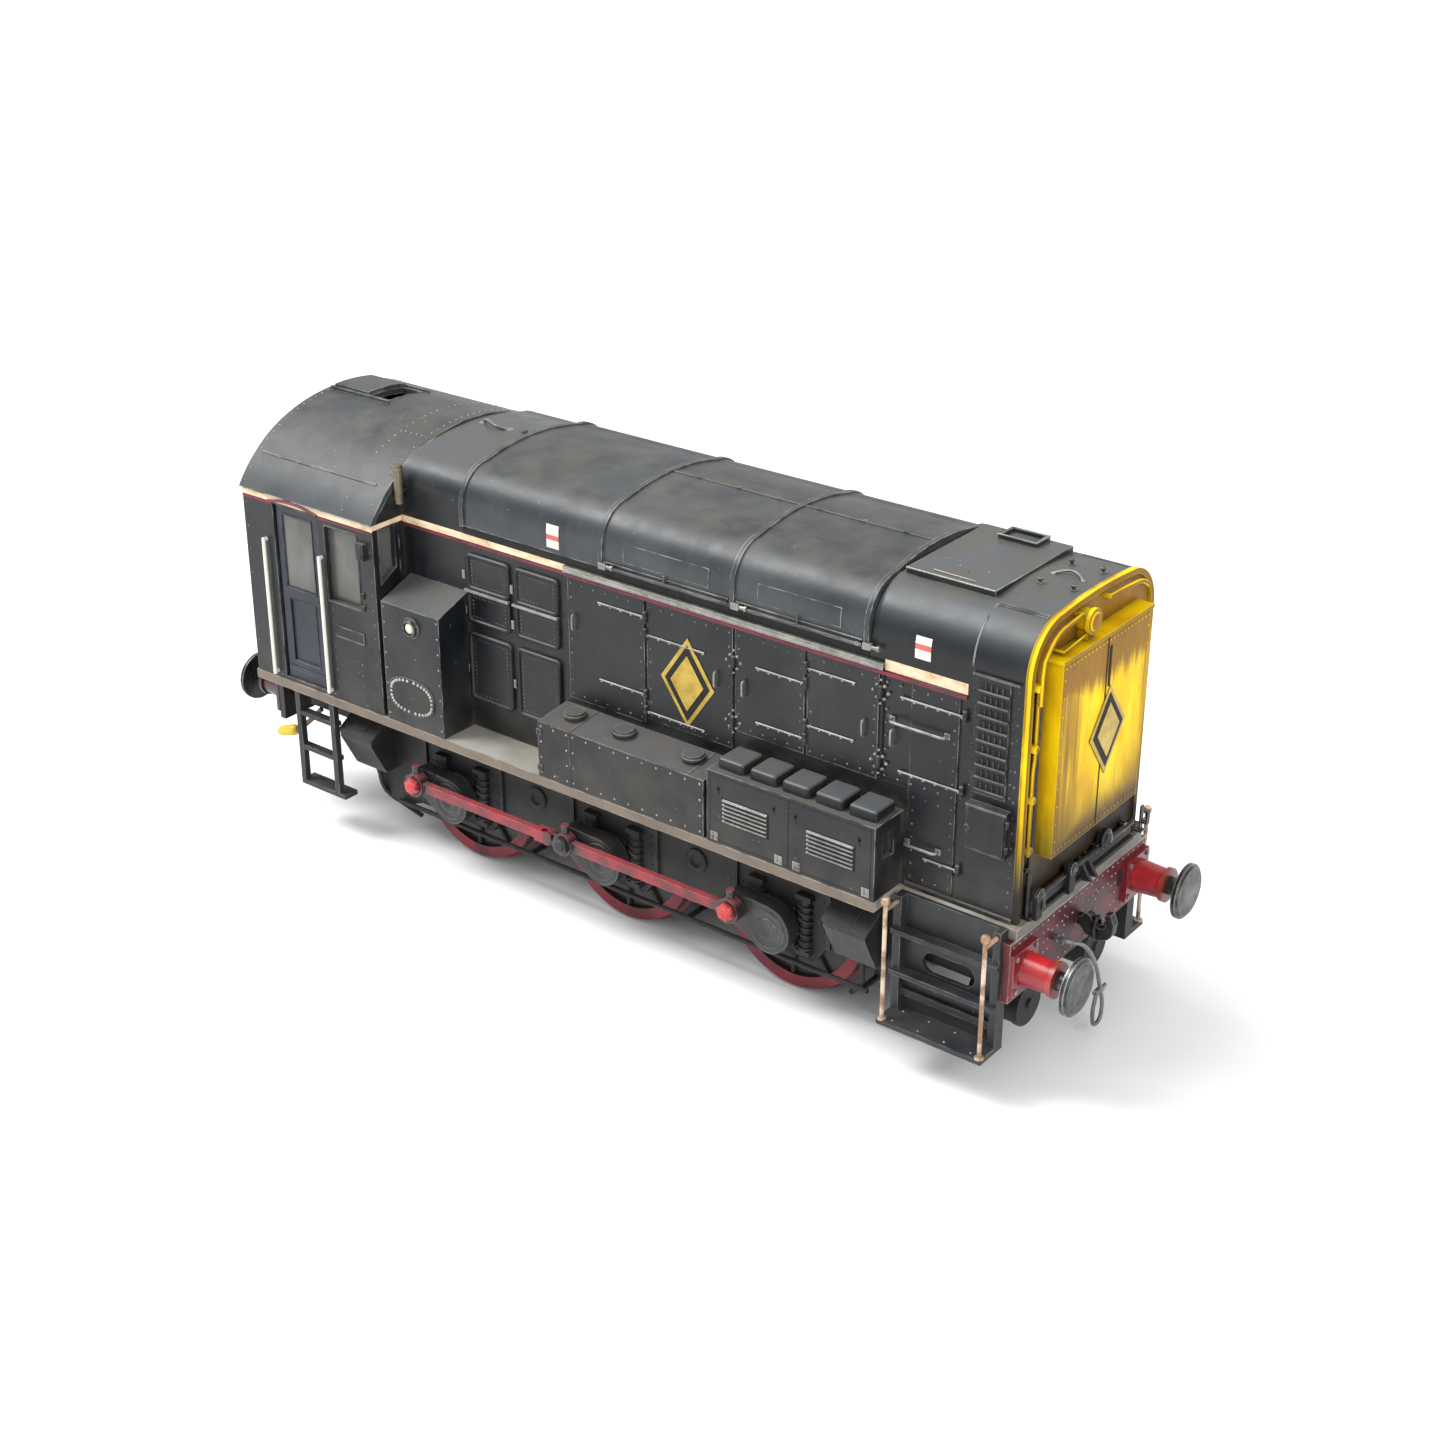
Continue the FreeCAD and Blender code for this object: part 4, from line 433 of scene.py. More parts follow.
# Metals and plain finishes: material, deep, pale, worn edges, rough, metallic, wear.
for slot, *finish in (("steel", "machined_steel", (120, 120, 118), (158, 158, 155),
                       (206, 206, 202)), ("dark_steel", "oily_steel", (34, 35, 36), (66, 66, 64),
                                          (190, 190, 182), 0.38, 0.7, 0.9),
                      ("spring_steel", "spring_steel", (60, 60, 62), (96, 96, 96), (160, 160, 158),
                       0.32), ("cast_block", "cast_block", (64, 64, 64), (88, 88, 86),
                               (140, 140, 136), 0.6, 0.5), ("brass", "worn_brass", (92, 82, 66),
                                                            (128, 116, 96), (196, 186, 164), 0.42,
                                                            0.6), ("buffer_steel", "buffer_steel",
                                                                   (44, 46, 46), (104, 106, 104),
                                                                   (214, 214, 208), 0.36, 0.75,
                                                                   1.0), ("hose_grey", "hose_grey",
                                                                          (96, 98, 98),
                                                                          (140, 142, 140),
                                                                          (216, 218, 214), 0.34,
                                                                          0.6, 0.9),
                      # Bright bolts: pale metal, painted lighter to stand in for glints on the
                      # bolts.
                      ("bolt_bright", "bolt_bright", (150, 148, 142), (186, 184, 176),
                       (228, 226, 218), 0.34, 0.4, 0.7), ("dust_brown", "pipe_brown", (84, 62, 40),
                                                          (118, 88, 58), (168, 138, 100), 0.45,
                                                          0.3), ("gold", "plaque_gold",
                                                                 (150, 124, 44), (190, 160, 70),
                                                                 (222, 200, 120), 0.36, 0.55),
                      ("nut_red", "nut_red", (172, 30, 36), (206, 50, 52), (232, 140, 130), 0.3,
                       0.0), ("nut_yellow", "pipe_yellow", (190, 160, 40), (224, 196, 60),
                              (240, 226, 140), 0.4, 0.0), ("black_void", "deep_black", (8, 8, 8),
                                                           (16, 15, 14), (40, 38, 36), 0.75, 0.0,
                                                           0.3), ("slat_grey", "slat_grey",
                                                                  (62, 64, 64), (92, 93, 90),
                                                                  (176, 176, 170), 0.34, 0.4, 0.5),
                      # A lighter grey for worn bare metal, also painted lighter to stand in for
                      # glints on rivets, rails and edges.
                      ("edge_grey", "rubbed_grey", (104, 103, 98), (142, 140, 133),
                       (206, 204, 196), 0.36, 0.4, 0.85), ("pale_lens", "pale_lens",
                                                           (214, 206, 186), (232, 226, 208),
                                                           (248, 244, 232), 0.25, 0.0),
                      ("tan_rail", "tan_rail", (150, 118, 88), (190, 160, 130), (228, 214, 192),
                       0.42, 0.3)):
    MATERIALS[slot] = metal(*finish)

ENDS = [end + side for end in ("front", "rear") for side in ("_right", "_left")]
SLOT_NODES = {"body_paint": ("cab_shell", "bonnet_shell", "bonnet_doors", "tall_boxes",
                             "fuel_tanks", "battery_boxes"), "roof_paint": ("cab_roof",
                                                                            "roof_hatch",
                                                                            "bonnet_cover"),
              "door_blue": ("cab_door_right", "cab_door_left"),
              "nose_yellow": ("radiator", "headlamp"), "beam_red": ("beam_front", "beam_rear"),
              "buffer_red": ("buffer_housings",), "crank_black": ["cranks_" + axle
                                                                  for axle in AXLES],
              "steel": ["axle_" + axle for axle in AXLES]
              + ["body_screws", "motor_can", "motor_shaft"],
              "dark_steel": ("drawhook_front", "drawhook_rear", "nose_pipework"),
              "buffer_steel": ["buffer_head_" + end for end in ENDS], "hose_grey": ("brake_hose",),
              "spring_steel": ["buffer_spring_" + end for end in ENDS],
              "underframe": ("frame_plates", "brake_gear", "air_vessels"),
              "footplate_grey": ("footplate",), "cast_block": ("chassis_block", "keeper_plate"),
              "brass": ("gear", "flywheel", "whistle"), "rail_wire": ("handrails",),
              "glazing": ("cab_glazing",), "interior": ("cab_interior",),
              "circuit": ("decoder_board",), "step_black": ("front_steps", "rear_ladders",
                                                            "sand_boxes"),
              "rod_red_right": ("rod_front_right", "rod_rear_right"),
              "rod_red_left": ("rod_front_left", "rod_rear_left"),}


def dress(node, material):
    """Gives a CAD node its finish; its mesh stays as it is."""
    held = NODES[node]
    for thing in [held] + list(held.children_recursive):
        if thing.type == "MESH":
            for slot in thing.material_slots:
                slot.material = material
            if not thing.material_slots:
                thing.data.materials.append(material)


for slot_name, members in SLOT_NODES.items():
    for member in members:
        dress(member, MATERIALS[slot_name])
for axle_name in AXLES:
    dress("wheels_" + axle_name, wheel_paint(axle_name))


# ---------------------------------------------------------------- mesh building

BLOCK_FACES = ((0, 1, 3, 2), (4, 6, 7, 5), (0, 4, 5, 1), (2, 3, 7, 6), (0, 2, 6, 4), (1, 5, 7, 3))


def circle(centre, across, up, radius, sides):
    turns = [2 * math.pi * k / sides for k in range(sides)]
    return [centre + across * (radius * math.cos(turn)) + up * (radius * math.sin(turn))
            for turn in turns]


def flip(point, side):
    return Vector((point[0], point[1] * side, point[2]))


class Mesh:
    """Faces in millimetres, gathered until they become one piece. Each shape is made once
    for every side in sides, with y times that side."""

    def __init__(self, sides=ONCE):
        self.points, self.faces, self.sides = [], [], sides

    def add(self, points, faces):
        start = len(self.points)
        self.points += [tuple(point) for point in points]
        self.faces += [tuple(start + corner for corner in face) for face in faces]

    def skin(self, rings):
        """Closed rings of equal length, skinned in order, with both ends capped."""
        count = len(rings[0])
        faces = [tuple(reversed(range(count)))]
        for low in range(0, (len(rings) - 1) * count, count):
            for corner in range(count):
                after = (corner + 1) % count
                faces.append((low + corner, low + after, low + count + after, low + count
                              + corner))
        faces.append(tuple(range((len(rings) - 1) * count, len(rings) * count)))
        self.add([point for ring in rings for point in ring], faces)

    def loft(self, rings):
        for side in self.sides:
            self.skin([[flip(point, side) for point in ring] for ring in rings])

    def block(self, xs, ys, zs):
        for side in self.sides:
            spans = [sorted(span) for span in (xs, [y * side for y in ys], zs)]
            self.add(itertools.product(*spans), BLOCK_FACES)

    def turned(self, centre, axis, profile, sides=24):
        """A lathe-turned piece: profile pairs are (distance along the axis, radius)."""
        for side in self.sides:
            start, along = flip(centre, side), flip(axis, side).normalized()
            across = along.orthogonal().normalized()
            up = along.cross(across)
            self.skin([circle(start + along * reach, across, up, radius, sides) for reach,
                       radius in profile])

    def rivets(self, spots, normal, radius=0.26, height=0.13):
        profile = [(-0.06, radius), (0.0, radius), (height * 0.7, radius * 0.75),
                   (height, radius * 0.25)]
        for spot in spots:
            self.turned(spot, normal, profile, 8)

    def tube(self, path, radius, sides=10):
        """A round wire along a path, with its section carried round the bends."""
        for side in self.sides:
            points = [flip(point, side) for point in path]
            runs = [(b - a).normalized() for a, b in zip(points, points[1:])]
            bends = [(a + b).normalized() for a, b in zip(runs, runs[1:])]
            across = runs[0].orthogonal().normalized()
            rings = []
            for point, tangent in zip(points, [runs[0]] + bends + [runs[-1]]):
                across = (across - tangent * across.dot(tangent)).normalized()
                rings.append(circle(point, across, tangent.cross(across), radius, sides))
            self.skin(rings)

    def slab(self, outline, normal_axis, low, high):
        """A flat plate: outline pairs lie in the two axes left over, extruded low to high."""
        rings = []
        for level in (low, high):
            ring = [list(pair) for pair in outline]
            for point in ring:
                point.insert(normal_axis, level)
            rings.append(ring)
        self.loft(rings)

    def make(self, name, finish, slot=None, body="chassis", bevel=0.0, smooth=False):
        data = bpy.data.meshes.new(name)
        data.from_pydata([[value * MM for value in point] for point in self.points], [],
                         self.faces)
        data.materials.append(MATERIALS[finish])
        thing = bpy.data.objects.new(name, data)
        bpy.context.scene.collection.objects.link(thing)
        tidy = bmesh.new()
        tidy.from_mesh(data)
        bmesh.ops.recalc_face_normals(tidy, faces=tidy.faces)
        tidy.to_mesh(data)
        tidy.free()
        if smooth:
            data.polygons.foreach_set("use_smooth", [True] * len(data.polygons))
            data.set_sharp_from_angle(angle=math.radians(50))
        if bevel:
            round_off = thing.modifiers.new("round_off", "BEVEL")
            round_off.width = bevel * MM
            round_off.segments = 2
            round_off.limit_method = "ANGLE"
        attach(thing, body)


def pairs(count):
    """Meshes whose shapes are made on both sides of the engine."""
    return [Mesh(SIDES) for _ in range(count)]


# ---------------------------------------------------------------- shared shapes

def spread(start, end, gap):
    """Evenly spaced values from start to end, about gap apart."""
    count = max(1, round(abs(end - start) / gap))
    return [start + (end - start) * index / count for index in range(count + 1)]


def frame_spots(x0, x1, z0, z1, gap):
    """Spots round a rectangle in the XZ plane."""
    spots = [(x, z) for x in spread(x0, x1, gap) for z in (z0, z1)]
    return spots + [(x, z) for z in spread(z0, z1, gap)[1:-1] for x in (x0, x1)]


def on_side(spots, distance):
    return [(x, distance, z) for x, z in spots]


def soften(path, reach, steps=5):
    """A path whose corners are turned by short curves."""
    path = [Vector(point) for point in path]
    out = [path[0]]
    for before, corner, after in zip(path, path[1:], path[2:]):
        start = corner + (before - corner).normalized() * min(reach, (before - corner).length / 2)
        end = corner + (after - corner).normalized() * min(reach, (after - corner).length / 2)
        for index in range(steps + 1):
            t = index / steps
            out.append(start * (1 - t) ** 2 + corner * 2 * t * (1 - t) + end * t * t)
    return out + [path[-1]]


def ellipse(centre, half_width, half_height, count=32, power=2.0):
    """A closed oval outline; a power over 2 squares it off."""
    outline = []
    for index in range(count):
        angle = 2 * math.pi * index / count
        c, s = math.cos(angle), math.sin(angle)
        outline.append((centre[0] + half_width * math.copysign(abs(c) ** (2 / power), c),
                        centre[1] + half_height * math.copysign(abs(s) ** (2 / power), s)))
    return outline


def arch_top(y, arch):
    """Height of a bonnet arch at a distance y from the middle."""
    half, spring, shoulder, rise = arch
    crown_half = half - shoulder
    radius = (crown_half ** 2 + rise ** 2) / (2 * rise)
    if abs(y) <= crown_half:
        return spring + shoulder + rise - radius + math.sqrt(radius ** 2 - y ** 2)
    reach = min(abs(y) - crown_half, shoulder)
    return spring + math.sqrt(max(shoulder ** 2 - reach ** 2, 0.0))


def flank(z, arch):
    """Distance from the middle and outward lean of an arch's side at a height z."""
    half, spring, shoulder, _ = arch
    if z <= spring:
        return half, 0.0
    angle = math.asin((z - spring) / shoulder)
    return half - shoulder + shoulder * math.cos(angle), angle


def roof_top(y):
    """Height and outward normal of the cab roof at a distance y from the middle."""
    if abs(y) <= ROOF_CROWN_HALF:
        height = ROOF_CENTRE + math.sqrt(ROOF_CROWN ** 2 - y ** 2)
        return height, Vector((0, y, height - ROOF_CENTRE)).normalized()
    across = abs(y) - ROOF_SIDE_CENTRE[0]
    rise = math.sqrt(ROOF_SIDE ** 2 - across ** 2)
    return ROOF_SIDE_CENTRE[1] + rise, Vector((0, math.copysign(across, y), rise)).normalized()


# ---------------------------------------------------------------- lining and labels

def build_lining():
    """Cream and maroon lines, the rain gutter, the drip strip, and a black strip painted as the
    shadow line at the cover's foot.
    """
    cream, maroon, gutter, gap = pairs(4)
    cab, bonnet, over_doors = (CAB_HALF, CAB_HALF + 0.1), (20.6, 20.8), (20.6, 21.14)
    drip_start, drip_length, drip_rise, steps = -83.0, 14.6, 1.0, 12
    cream.block((-90.6, -52.85), cab, (73.0, 74.25))
    cream.block((-52.95, -52.8), (20.9, 29.2), (73.25, 74.3))
    cream.block((-52.9, -10.0), bonnet, (72.95, 74.35))
    cream.block((61.9, 78.3), bonnet, (73.0, 75.0))
    maroon.block((-90.6, -82.0), cab, (72.3, 72.85))
    maroon.block((-68.7, -52.85), cab, (72.3, 72.85))
    maroon.block((-52.9, -10.0), bonnet, (72.2, 72.8))
    maroon.block((-10.0, 78.3), over_doors, (72.15, 72.85))
    gutter.block((-10.0, 61.9), (20.6, 21.55), (73.45, 74.35))
    gutter.block((-10.0, 61.9), (21.35, 21.6), (73.1, 73.6))
    # A black strip painted as the shadow line under the cover's foot.
    gap.block((-36.3, 58.6), (20.6, 20.82), (74.35, 75.9))
    maroon.tube([(drip_start + drip_length * t / steps, 29.35,
                  72.9 + drip_rise * math.sin(math.pi * t / steps))
                 for t in range(steps + 1)], 0.28)
    cream.make("cream_lining", "cream", "body_paint", bevel=0.03)
    maroon.make("maroon_lining", "maroon", "body_paint", bevel=0.03)
    gutter.make("rain_gutters", "edge_grey", "body_paint", bevel=0.1)
    gap.make("cover_foot_gap", "black_void", "body_paint")


def beam(mesh, section, xs):
    """A bar along the engine: its section is (y, z) pairs."""
    mesh.loft([[(x, y, z) for y, z in section] for x in xs])


def curved_plate(mesh, xs, zs, arch, proud=0.07):
    """A thin plate that follows an arch's side between two heights."""
    steps, sunk = 6, 0.05
    outer, inner = [], []
    for index in range(steps + 1):
        z = zs[0] + (zs[1] - zs[0]) * index / steps
        reach, lean = flank(z, arch)
        for offset, row in ((proud, outer), (-sunk, inner)):
            row.append((reach + offset * math.cos(lean), z + offset * math.sin(lean)))
    beam(mesh, outer + inner[::-1], xs)


def build_labels():
    """Blank plates, two of which lift with the cover."""
    fixed, lifted = pairs(2)
    curved_plate(lifted, (-14.2, -11.2), (77.0, 81.6), COVER_ARCH)
    curved_plate(fixed, (67.7, 70.8), (76.9, 80.9), NOSE_ARCH)
    fixed.make("nose_labels", "label", "body_paint")
    lifted.make("cover_labels", "label", "roof_paint", "cover_body")


def lozenge(centre, half_width, half_height):
    return [(centre[0] - half_width, centre[1]), (centre[0], centre[1] - half_height),
            (centre[0] + half_width, centre[1]), (centre[0], centre[1] + half_height)]


def build_plaques():
    """Plain gilt lozenges where the real engine carries its badges."""
    gilt, ground = pairs(2)
    for grow, low, high in ((1.0, 21.0, 21.3), (0.62, 21.3, 21.5)):
        gilt.slab(lozenge((19.5, 58.4), 6.2 * grow, 9.0 * grow), 1, low, high)
    ground.slab(lozenge((19.5, 58.4), 5.2, 7.6), 1, 21.25, 21.36)
    gilt.sides = ground.sides = ONCE
    for grow, low, high in ((1.0, 92.5, 92.85), (0.62, 92.85, 93.05)):
        gilt.slab(lozenge((1.6, 62.4), 6.2 * grow, 8.4 * grow), 0, low, high)
    ground.slab(lozenge((1.6, 62.4), 5.2, 7.1), 0, 92.8, 92.91)
    gilt.make("plaques", "gold", "body_paint", bevel=0.08)
    ground.make("plaque_grounds", "black_void", "body_paint", bevel=0.03)


# ---------------------------------------------------------------- bonnet sides

PANEL_ROWS = ((39.8, 53.6), (56.5, 62.7), (63.5, 70.3))
PANEL_COLUMNS = (-35.1, -22.5)
DOORS = ((-9.3, 9.3, 47.3, 71.9), (9.9, 29.7, 48.3, 71.9), (30.3, 45.5, 52.1, 71.9),
         (46.1, 61.0, 52.1, 71.9), (61.8, 77.1, 52.4, 71.9), (67.8, 77.1, 34.6, 51.8))
STRAPS = ((-1.6, 9.2, 68.9), (-1.6, 9.2, 53.2), (9.8, 23.4, 65.5), (9.8, 23.4, 49.9),
          (35.1, 45.3, 65.9), (35.1, 45.3, 55.2), (46.2, 56.2, 69.0), (46.2, 56.2, 58.0),
          (65.5, 78.0, 69.1), (65.5, 78.0, 55.1), (71.3, 78.0, 39.9))
STRAP_ENDS = (9.6, 9.6, 9.6, 9.6, 45.8, 45.8, 45.8, 45.8, 78.2, 78.2, 78.2)
CATCHES = ((30.0, 65.7), (29.9, 53.8), (61.4, 68.9), (61.4, 55.6))
LOOP_HANDLES = ((-7.7, 63.4), (26.1, 61.2), (32.4, 61.1), (58.2, 61.2), (64.1, 61.1))
LONG_HANDLES = ((63.9, 74.9, 64.5), (67.8, 74.1, 42.1))


def build_panels():
    """A raised bead and a dotted line round each radiator-side panel."""
    beads, dots, sills = pairs(3)
    for x0 in PANEL_COLUMNS:
        x1 = x0 + 10.5
        for z0, z1 in PANEL_ROWS:
            middle = (x0 + x1) / 2
            loop = [(middle, z0), (x0, z0), (x0, z1), (x1, z1), (x1, z0), (middle, z0)]
            beads.tube(soften(on_side(loop, DOOR_FACE), 0.9, 4), 0.45, 8)
            dots.rivets(on_side(frame_spots(x0 + 1, x1 - 1, z0 + 1, z1 - 1, 0.85), DOOR_FACE), OUT,
                        0.13, 0.08)
        sills.block((x0 - 0.6, x1 + 0.4), (21.0, 21.9), (62.75, 63.3))
        for z in (46.0, 58.6, 66.0):
            sills.turned((x0 - 1.0, 21.2, z - 0.9), UP,
                         [(0, 0.3), (0.1, 0.42), (1.7, 0.42), (1.8, 0.3)], 10)
    beads.make("panel_beads", "body_paint", smooth=True)
    dots.make("panel_dots", "body_paint", smooth=True)
    sills.make("panel_sills", "edge_grey", "body_paint", bevel=0.1)


def build_doors():
    """Seams, rivets, strap hinges, catches and handles of the bonnet doors."""
    rivets, straps, bars, handles, seams = pairs(5)
    for x0, x1, z0, z1 in DOORS:
        rivets.rivets(on_side(frame_spots(x0 + 0.8, x1 - 0.8, z0 + 0.9, z1 - 0.9, 2.7), DOOR_FACE),
                      OUT, 0.23, 0.14)
    for x0, x1, z0, z1 in DOORS[4:]:
        for xs, zs in (((x0 - 0.15, x0 + 0.15), (z0, z1)), ((x0, x1), (z0 - 0.15, z0 + 0.15))):
            seams.block(xs, (20.6, 21.07), zs)
    for (x0, x1, z), seam in zip(STRAPS, STRAP_ENDS):
        bars.tube([(x0, 21.2, z), (x1, 21.2, z)], 0.2, 8)
        bars.rivets(on_side([(x, z - 0.3) for x in spread(x0 + 0.4, x1 - 0.4, 2.4)], 21.1), OUT,
                    0.3, 0.3)
        straps.turned((seam, 21.3, z - 1.2), UP, [(0, 0.25), (0.15, 0.42), (1.1, 0.42),
                                                  (1.2, 0.34), (1.3, 0.42), (2.25, 0.42),
                                                  (2.4, 0.25)], 12)
    for x, z in CATCHES:
        straps.turned((x, 21.3, z - 1.2), UP, [(0, 0.3), (0.2, 0.42), (2.2, 0.42), (2.4, 0.3)], 12)
        ring = ellipse((x, z), 1.55, 1.35, 6)
        bars.rivets(on_side(ring, 21.05), OUT, 0.36, 0.42)
        bars.rivets(on_side([(x, z + 2.2), (x, z - 2.2)], 21.05), OUT, 0.26, 0.3)
    for x, z in LOOP_HANDLES:
        handles.tube(soften([(x, 21.0, z + 1.5), (x, 21.9, z + 1.5), (x, 21.9, z - 1.5),
                             (x, 21.0, z - 1.5)], 0.6), 0.22, 8)
    for x0, x1, z in LONG_HANDLES:
        path = soften([(x0, 21.0, z), (x0, 22.3, z), (x1, 22.3, z), (x1, 21.0, z)], 0.9)
        handles.tube(path, 0.27)
        for x in (x0, x1):
            handles.block((x - 0.55, x + 0.55), (21.0, 21.18), (z - 0.55, z + 0.55))
    rivets.make("door_rivets", "body_paint", smooth=True)
    seams.make("door_seams", "black_void", "body_paint")
    straps.make("strap_hinges", "body_paint", bevel=0.06)
    bars.make("hinge_bars", "edge_grey", "body_paint", smooth=True)
    handles.make("door_handles", "edge_grey", "body_paint", bevel=0.05, smooth=True)


def build_nose_sides():
    """Nine rows of louvres, the small cabinet below them, and the foot angle."""
    hoods, shade_and_slots, slats, rivets, lids = pairs(5)
    rows, cells = 9, 5
    hoods.block((79.3, 88.2), (21.0, 21.28), (77.3, 77.75))
    for row in range(rows):
        z = 57.5 + row * (75.6 - 57.5) / (rows - 1)
        # The black band in each louvre row is painted shade in the opening under the lip.
        shade_and_slots.block((80.8, 86.2), (21.0, 21.09), (z - 0.55, z + 0.75))
        lip = [(21.0, z - 0.45), (21.5, z - 0.5), (21.5, z - 0.78), (21.0, z - 0.95)]
        beam(hoods, lip, (80.6, 86.4))
        for cell in range(1, cells):
            x = 80.8 + cell * 5.4 / cells
            slats.block((x - 0.14, x + 0.14), (21.0, 21.3), (z - 0.5, z + 0.7))
    rivets.rivets(on_side([(x, z) for x in (79.4, 87.1) for z in spread(56.6, 77.0, 2.4)], 20.7),
                  OUT, 0.25, 0.16)
    rivets.rivets(on_side([(87.9, z) for z in spread(36.0, 76.0, 2.9)], 20.7), OUT, 0.25, 0.16)
    lids.block((80.2, 87.4), (22.15, 22.5), (46.0, 53.9))
    hoods.block((79.9, 87.7), (21.1, 22.6), (53.95, 54.35))
    for z in (47.5, 52.4):
        lids.turned((87.8, 22.1, z - 0.6), UP, [(0, 0.3), (0.1, 0.4), (1.1, 0.4), (1.2, 0.3)], 10)
    lids.turned((80.2, 22.2, 49.8), OUT, [(0, 0.5), (0.3, 0.5), (0.4, 0.3)], 10)
    lids.block((67.6, 89.0), (20.7, 21.25), (33.15, 34.1))
    for x in (72.6, 79.0, 85.4):
        # Dark slots in the foot angle.
        shade_and_slots.block((x - 1.4, x + 1.4), (21.2, 21.29), (33.3, 33.75))
    hoods.make("louvre_hoods", "slat_grey", "body_paint", bevel=0.04)
    slats.make("louvre_slats", "underframe", "body_paint", bevel=0.03)
    shade_and_slots.make("louvre_gaps", "black_void", "body_paint")
    rivets.make("nose_side_rivets", "body_paint", smooth=True)
    lids.make("cabinet_lids", "body_paint", bevel=0.14)


# ---------------------------------------------------------------- cover and bonnet top

def build_cover_fittings():
    """Hinge line, clip rods, shallow side plates and end catches; all lift with the cover."""
    rods, plates, catches = Mesh(), Mesh(SIDES), Mesh(SIDES)
    top = arch_top(0, COVER_ARCH)
    rods.tube([(-1.2, 0, top), (58.6, 0, top)], 0.3, 8)
    for x in spread(6, 52, 9):
        rods.block((x - 0.5, x + 0.5), (-0.42, 0.42), (top - 0.1, top + 0.3))
    rods.sides = SIDES
    for x0, x1 in ((0.0, 28.8), (30.6, 57.4)):
        rods.tube([(x0, 21.5, 76.7), (x1, 21.5, 76.7)], 0.22, 8)
        rods.tube([(x0, 21.2, 77.5), (x1, 21.2, 77.5)], 0.16, 8)
        middle = (x0 + x1) / 2
        for x in (x0 + 0.8, middle, x1 - 0.8):
            rods.block((x - 0.3, x + 0.3), (20.9, 21.7), (76.4, 77.0))
        rods.tube([(middle, 21.5, 76.4), (middle, 21.5, 78.4)], 0.22, 8)
        curved_plate(plates, (x0 + 4.5, x1 - 4.5), (78.4, 82.0), COVER_ARCH, 0.14)
    for x in (-0.3, 30.4, 58.4):
        catches.block((x - 0.5, x + 1.1), (21.1, 22.0), (76.2, 77.4))
        catches.turned((x + 0.9, 21.55, 76.8), FORWARD,
                       [(0, 0.25), (0.1, 0.36), (1.3, 0.36), (1.4, 0.55), (1.8, 0.55), (1.9, 0.3)],
                       10)
    rods.make("cover_rods", "roof_paint", body="cover_body", smooth=True)
    plates.make("cover_side_plates", "roof_paint", body="cover_body", bevel=0.05)
    catches.make("cover_catches", "edge_grey", "roof_paint", "cover_body", bevel=0.08)


def build_bonnet_top():
    """Lifting loop and vent by the cab, and the knobs, handle and lips of the nose hatch."""
    wires, knobs, lips = Mesh(), Mesh(), Mesh(SIDES)
    loop = soften([(-50.2, 0.7, 88.2), (-49.4, 0.7, 89.3), (-44.6, -1.8, 89.3),
                   (-43.0, 0.6, 88.2)], 2.4, 7)
    wires.tube(loop, 0.32)
    for x, y in ((-50.2, 0.7), (-43.0, 0.6)):
        wires.turned((x, y, 88.0), UP, [(0, 0.9), (0.4, 0.9), (0.6, 0.5)], 14)
    knobs.turned((-38.7, 0.4, 88.1), UP, [(0, 1.5), (0.25, 1.45), (0.35, 0.7), (0.9, 0.65),
                                          (1.1, 0.4)], 16)
    for x, y in ((81.0, 6.9), (87.0, 6.9), (81.0, -3.7), (87.0, -3.2)):
        height = arch_top(y, NOSE_ARCH)
        knobs.turned((x, y, height - 0.1), UP, [(0, 0.55), (0.3, 0.5), (0.35, 0.3), (0.7, 0.32),
                                                (0.95, 0.5), (1.2, 0.5), (1.4, 0.25)], 12)
    swell = [math.sin(math.pi * t / 8) for t in range(9)]
    wires.tube([(80.6 + 0.72 * t, 1.2 + 1.5 * out, 88.2 + 0.6 * out)
                for t, out in enumerate(swell)], 0.24)
    for x, y in ((80.6, 1.2), (86.4, 1.2)):
        wires.turned((x, y, 87.9), UP, [(0, 0.5), (0.4, 0.45), (0.5, 0.3)], 10)
    wires.tube([(60.1, -12.4, 88.6), (77.6, -12.4, 88.6)], 0.18, 8)
    wires.tube([(77.6, -12.4, 88.6), (77.7, -4.0, 88.6)], 0.14, 8)
    wires.tube([(64.5, -10.6, 88.65), (73.0, -10.9, 88.65)], 0.16, 8)
    wires.tube([(65.3, 8.5, 89.4), (73.1, 8.5, 89.4), (73.1, 13.3, 89.4)], 0.18, 8)
    knobs.rivets([(x, y, 88.6) for x, y in ((63.4, -8.6), (63.4, -5.2), (67.0, -6.4), (72.4, -5.9),
                                            (73.3, -7.6), (69.6, -8.0))], UP, 0.22, 0.14)
    curved_plate(lips, (78.9, 79.2), (78.4, 87.2), NOSE_ARCH, 0.12)
    curved_plate(lips, (79.2, 88.6), (87.15, 87.35), NOSE_ARCH, 0.12)
    wires.make("bonnet_top_wires", "edge_grey", "roof_paint", smooth=True)
    knobs.make("bonnet_top_knobs", "roof_paint", smooth=True)
    lips.make("nose_panel_seams", "roof_paint")


# ---------------------------------------------------------------- boxes on the footplate

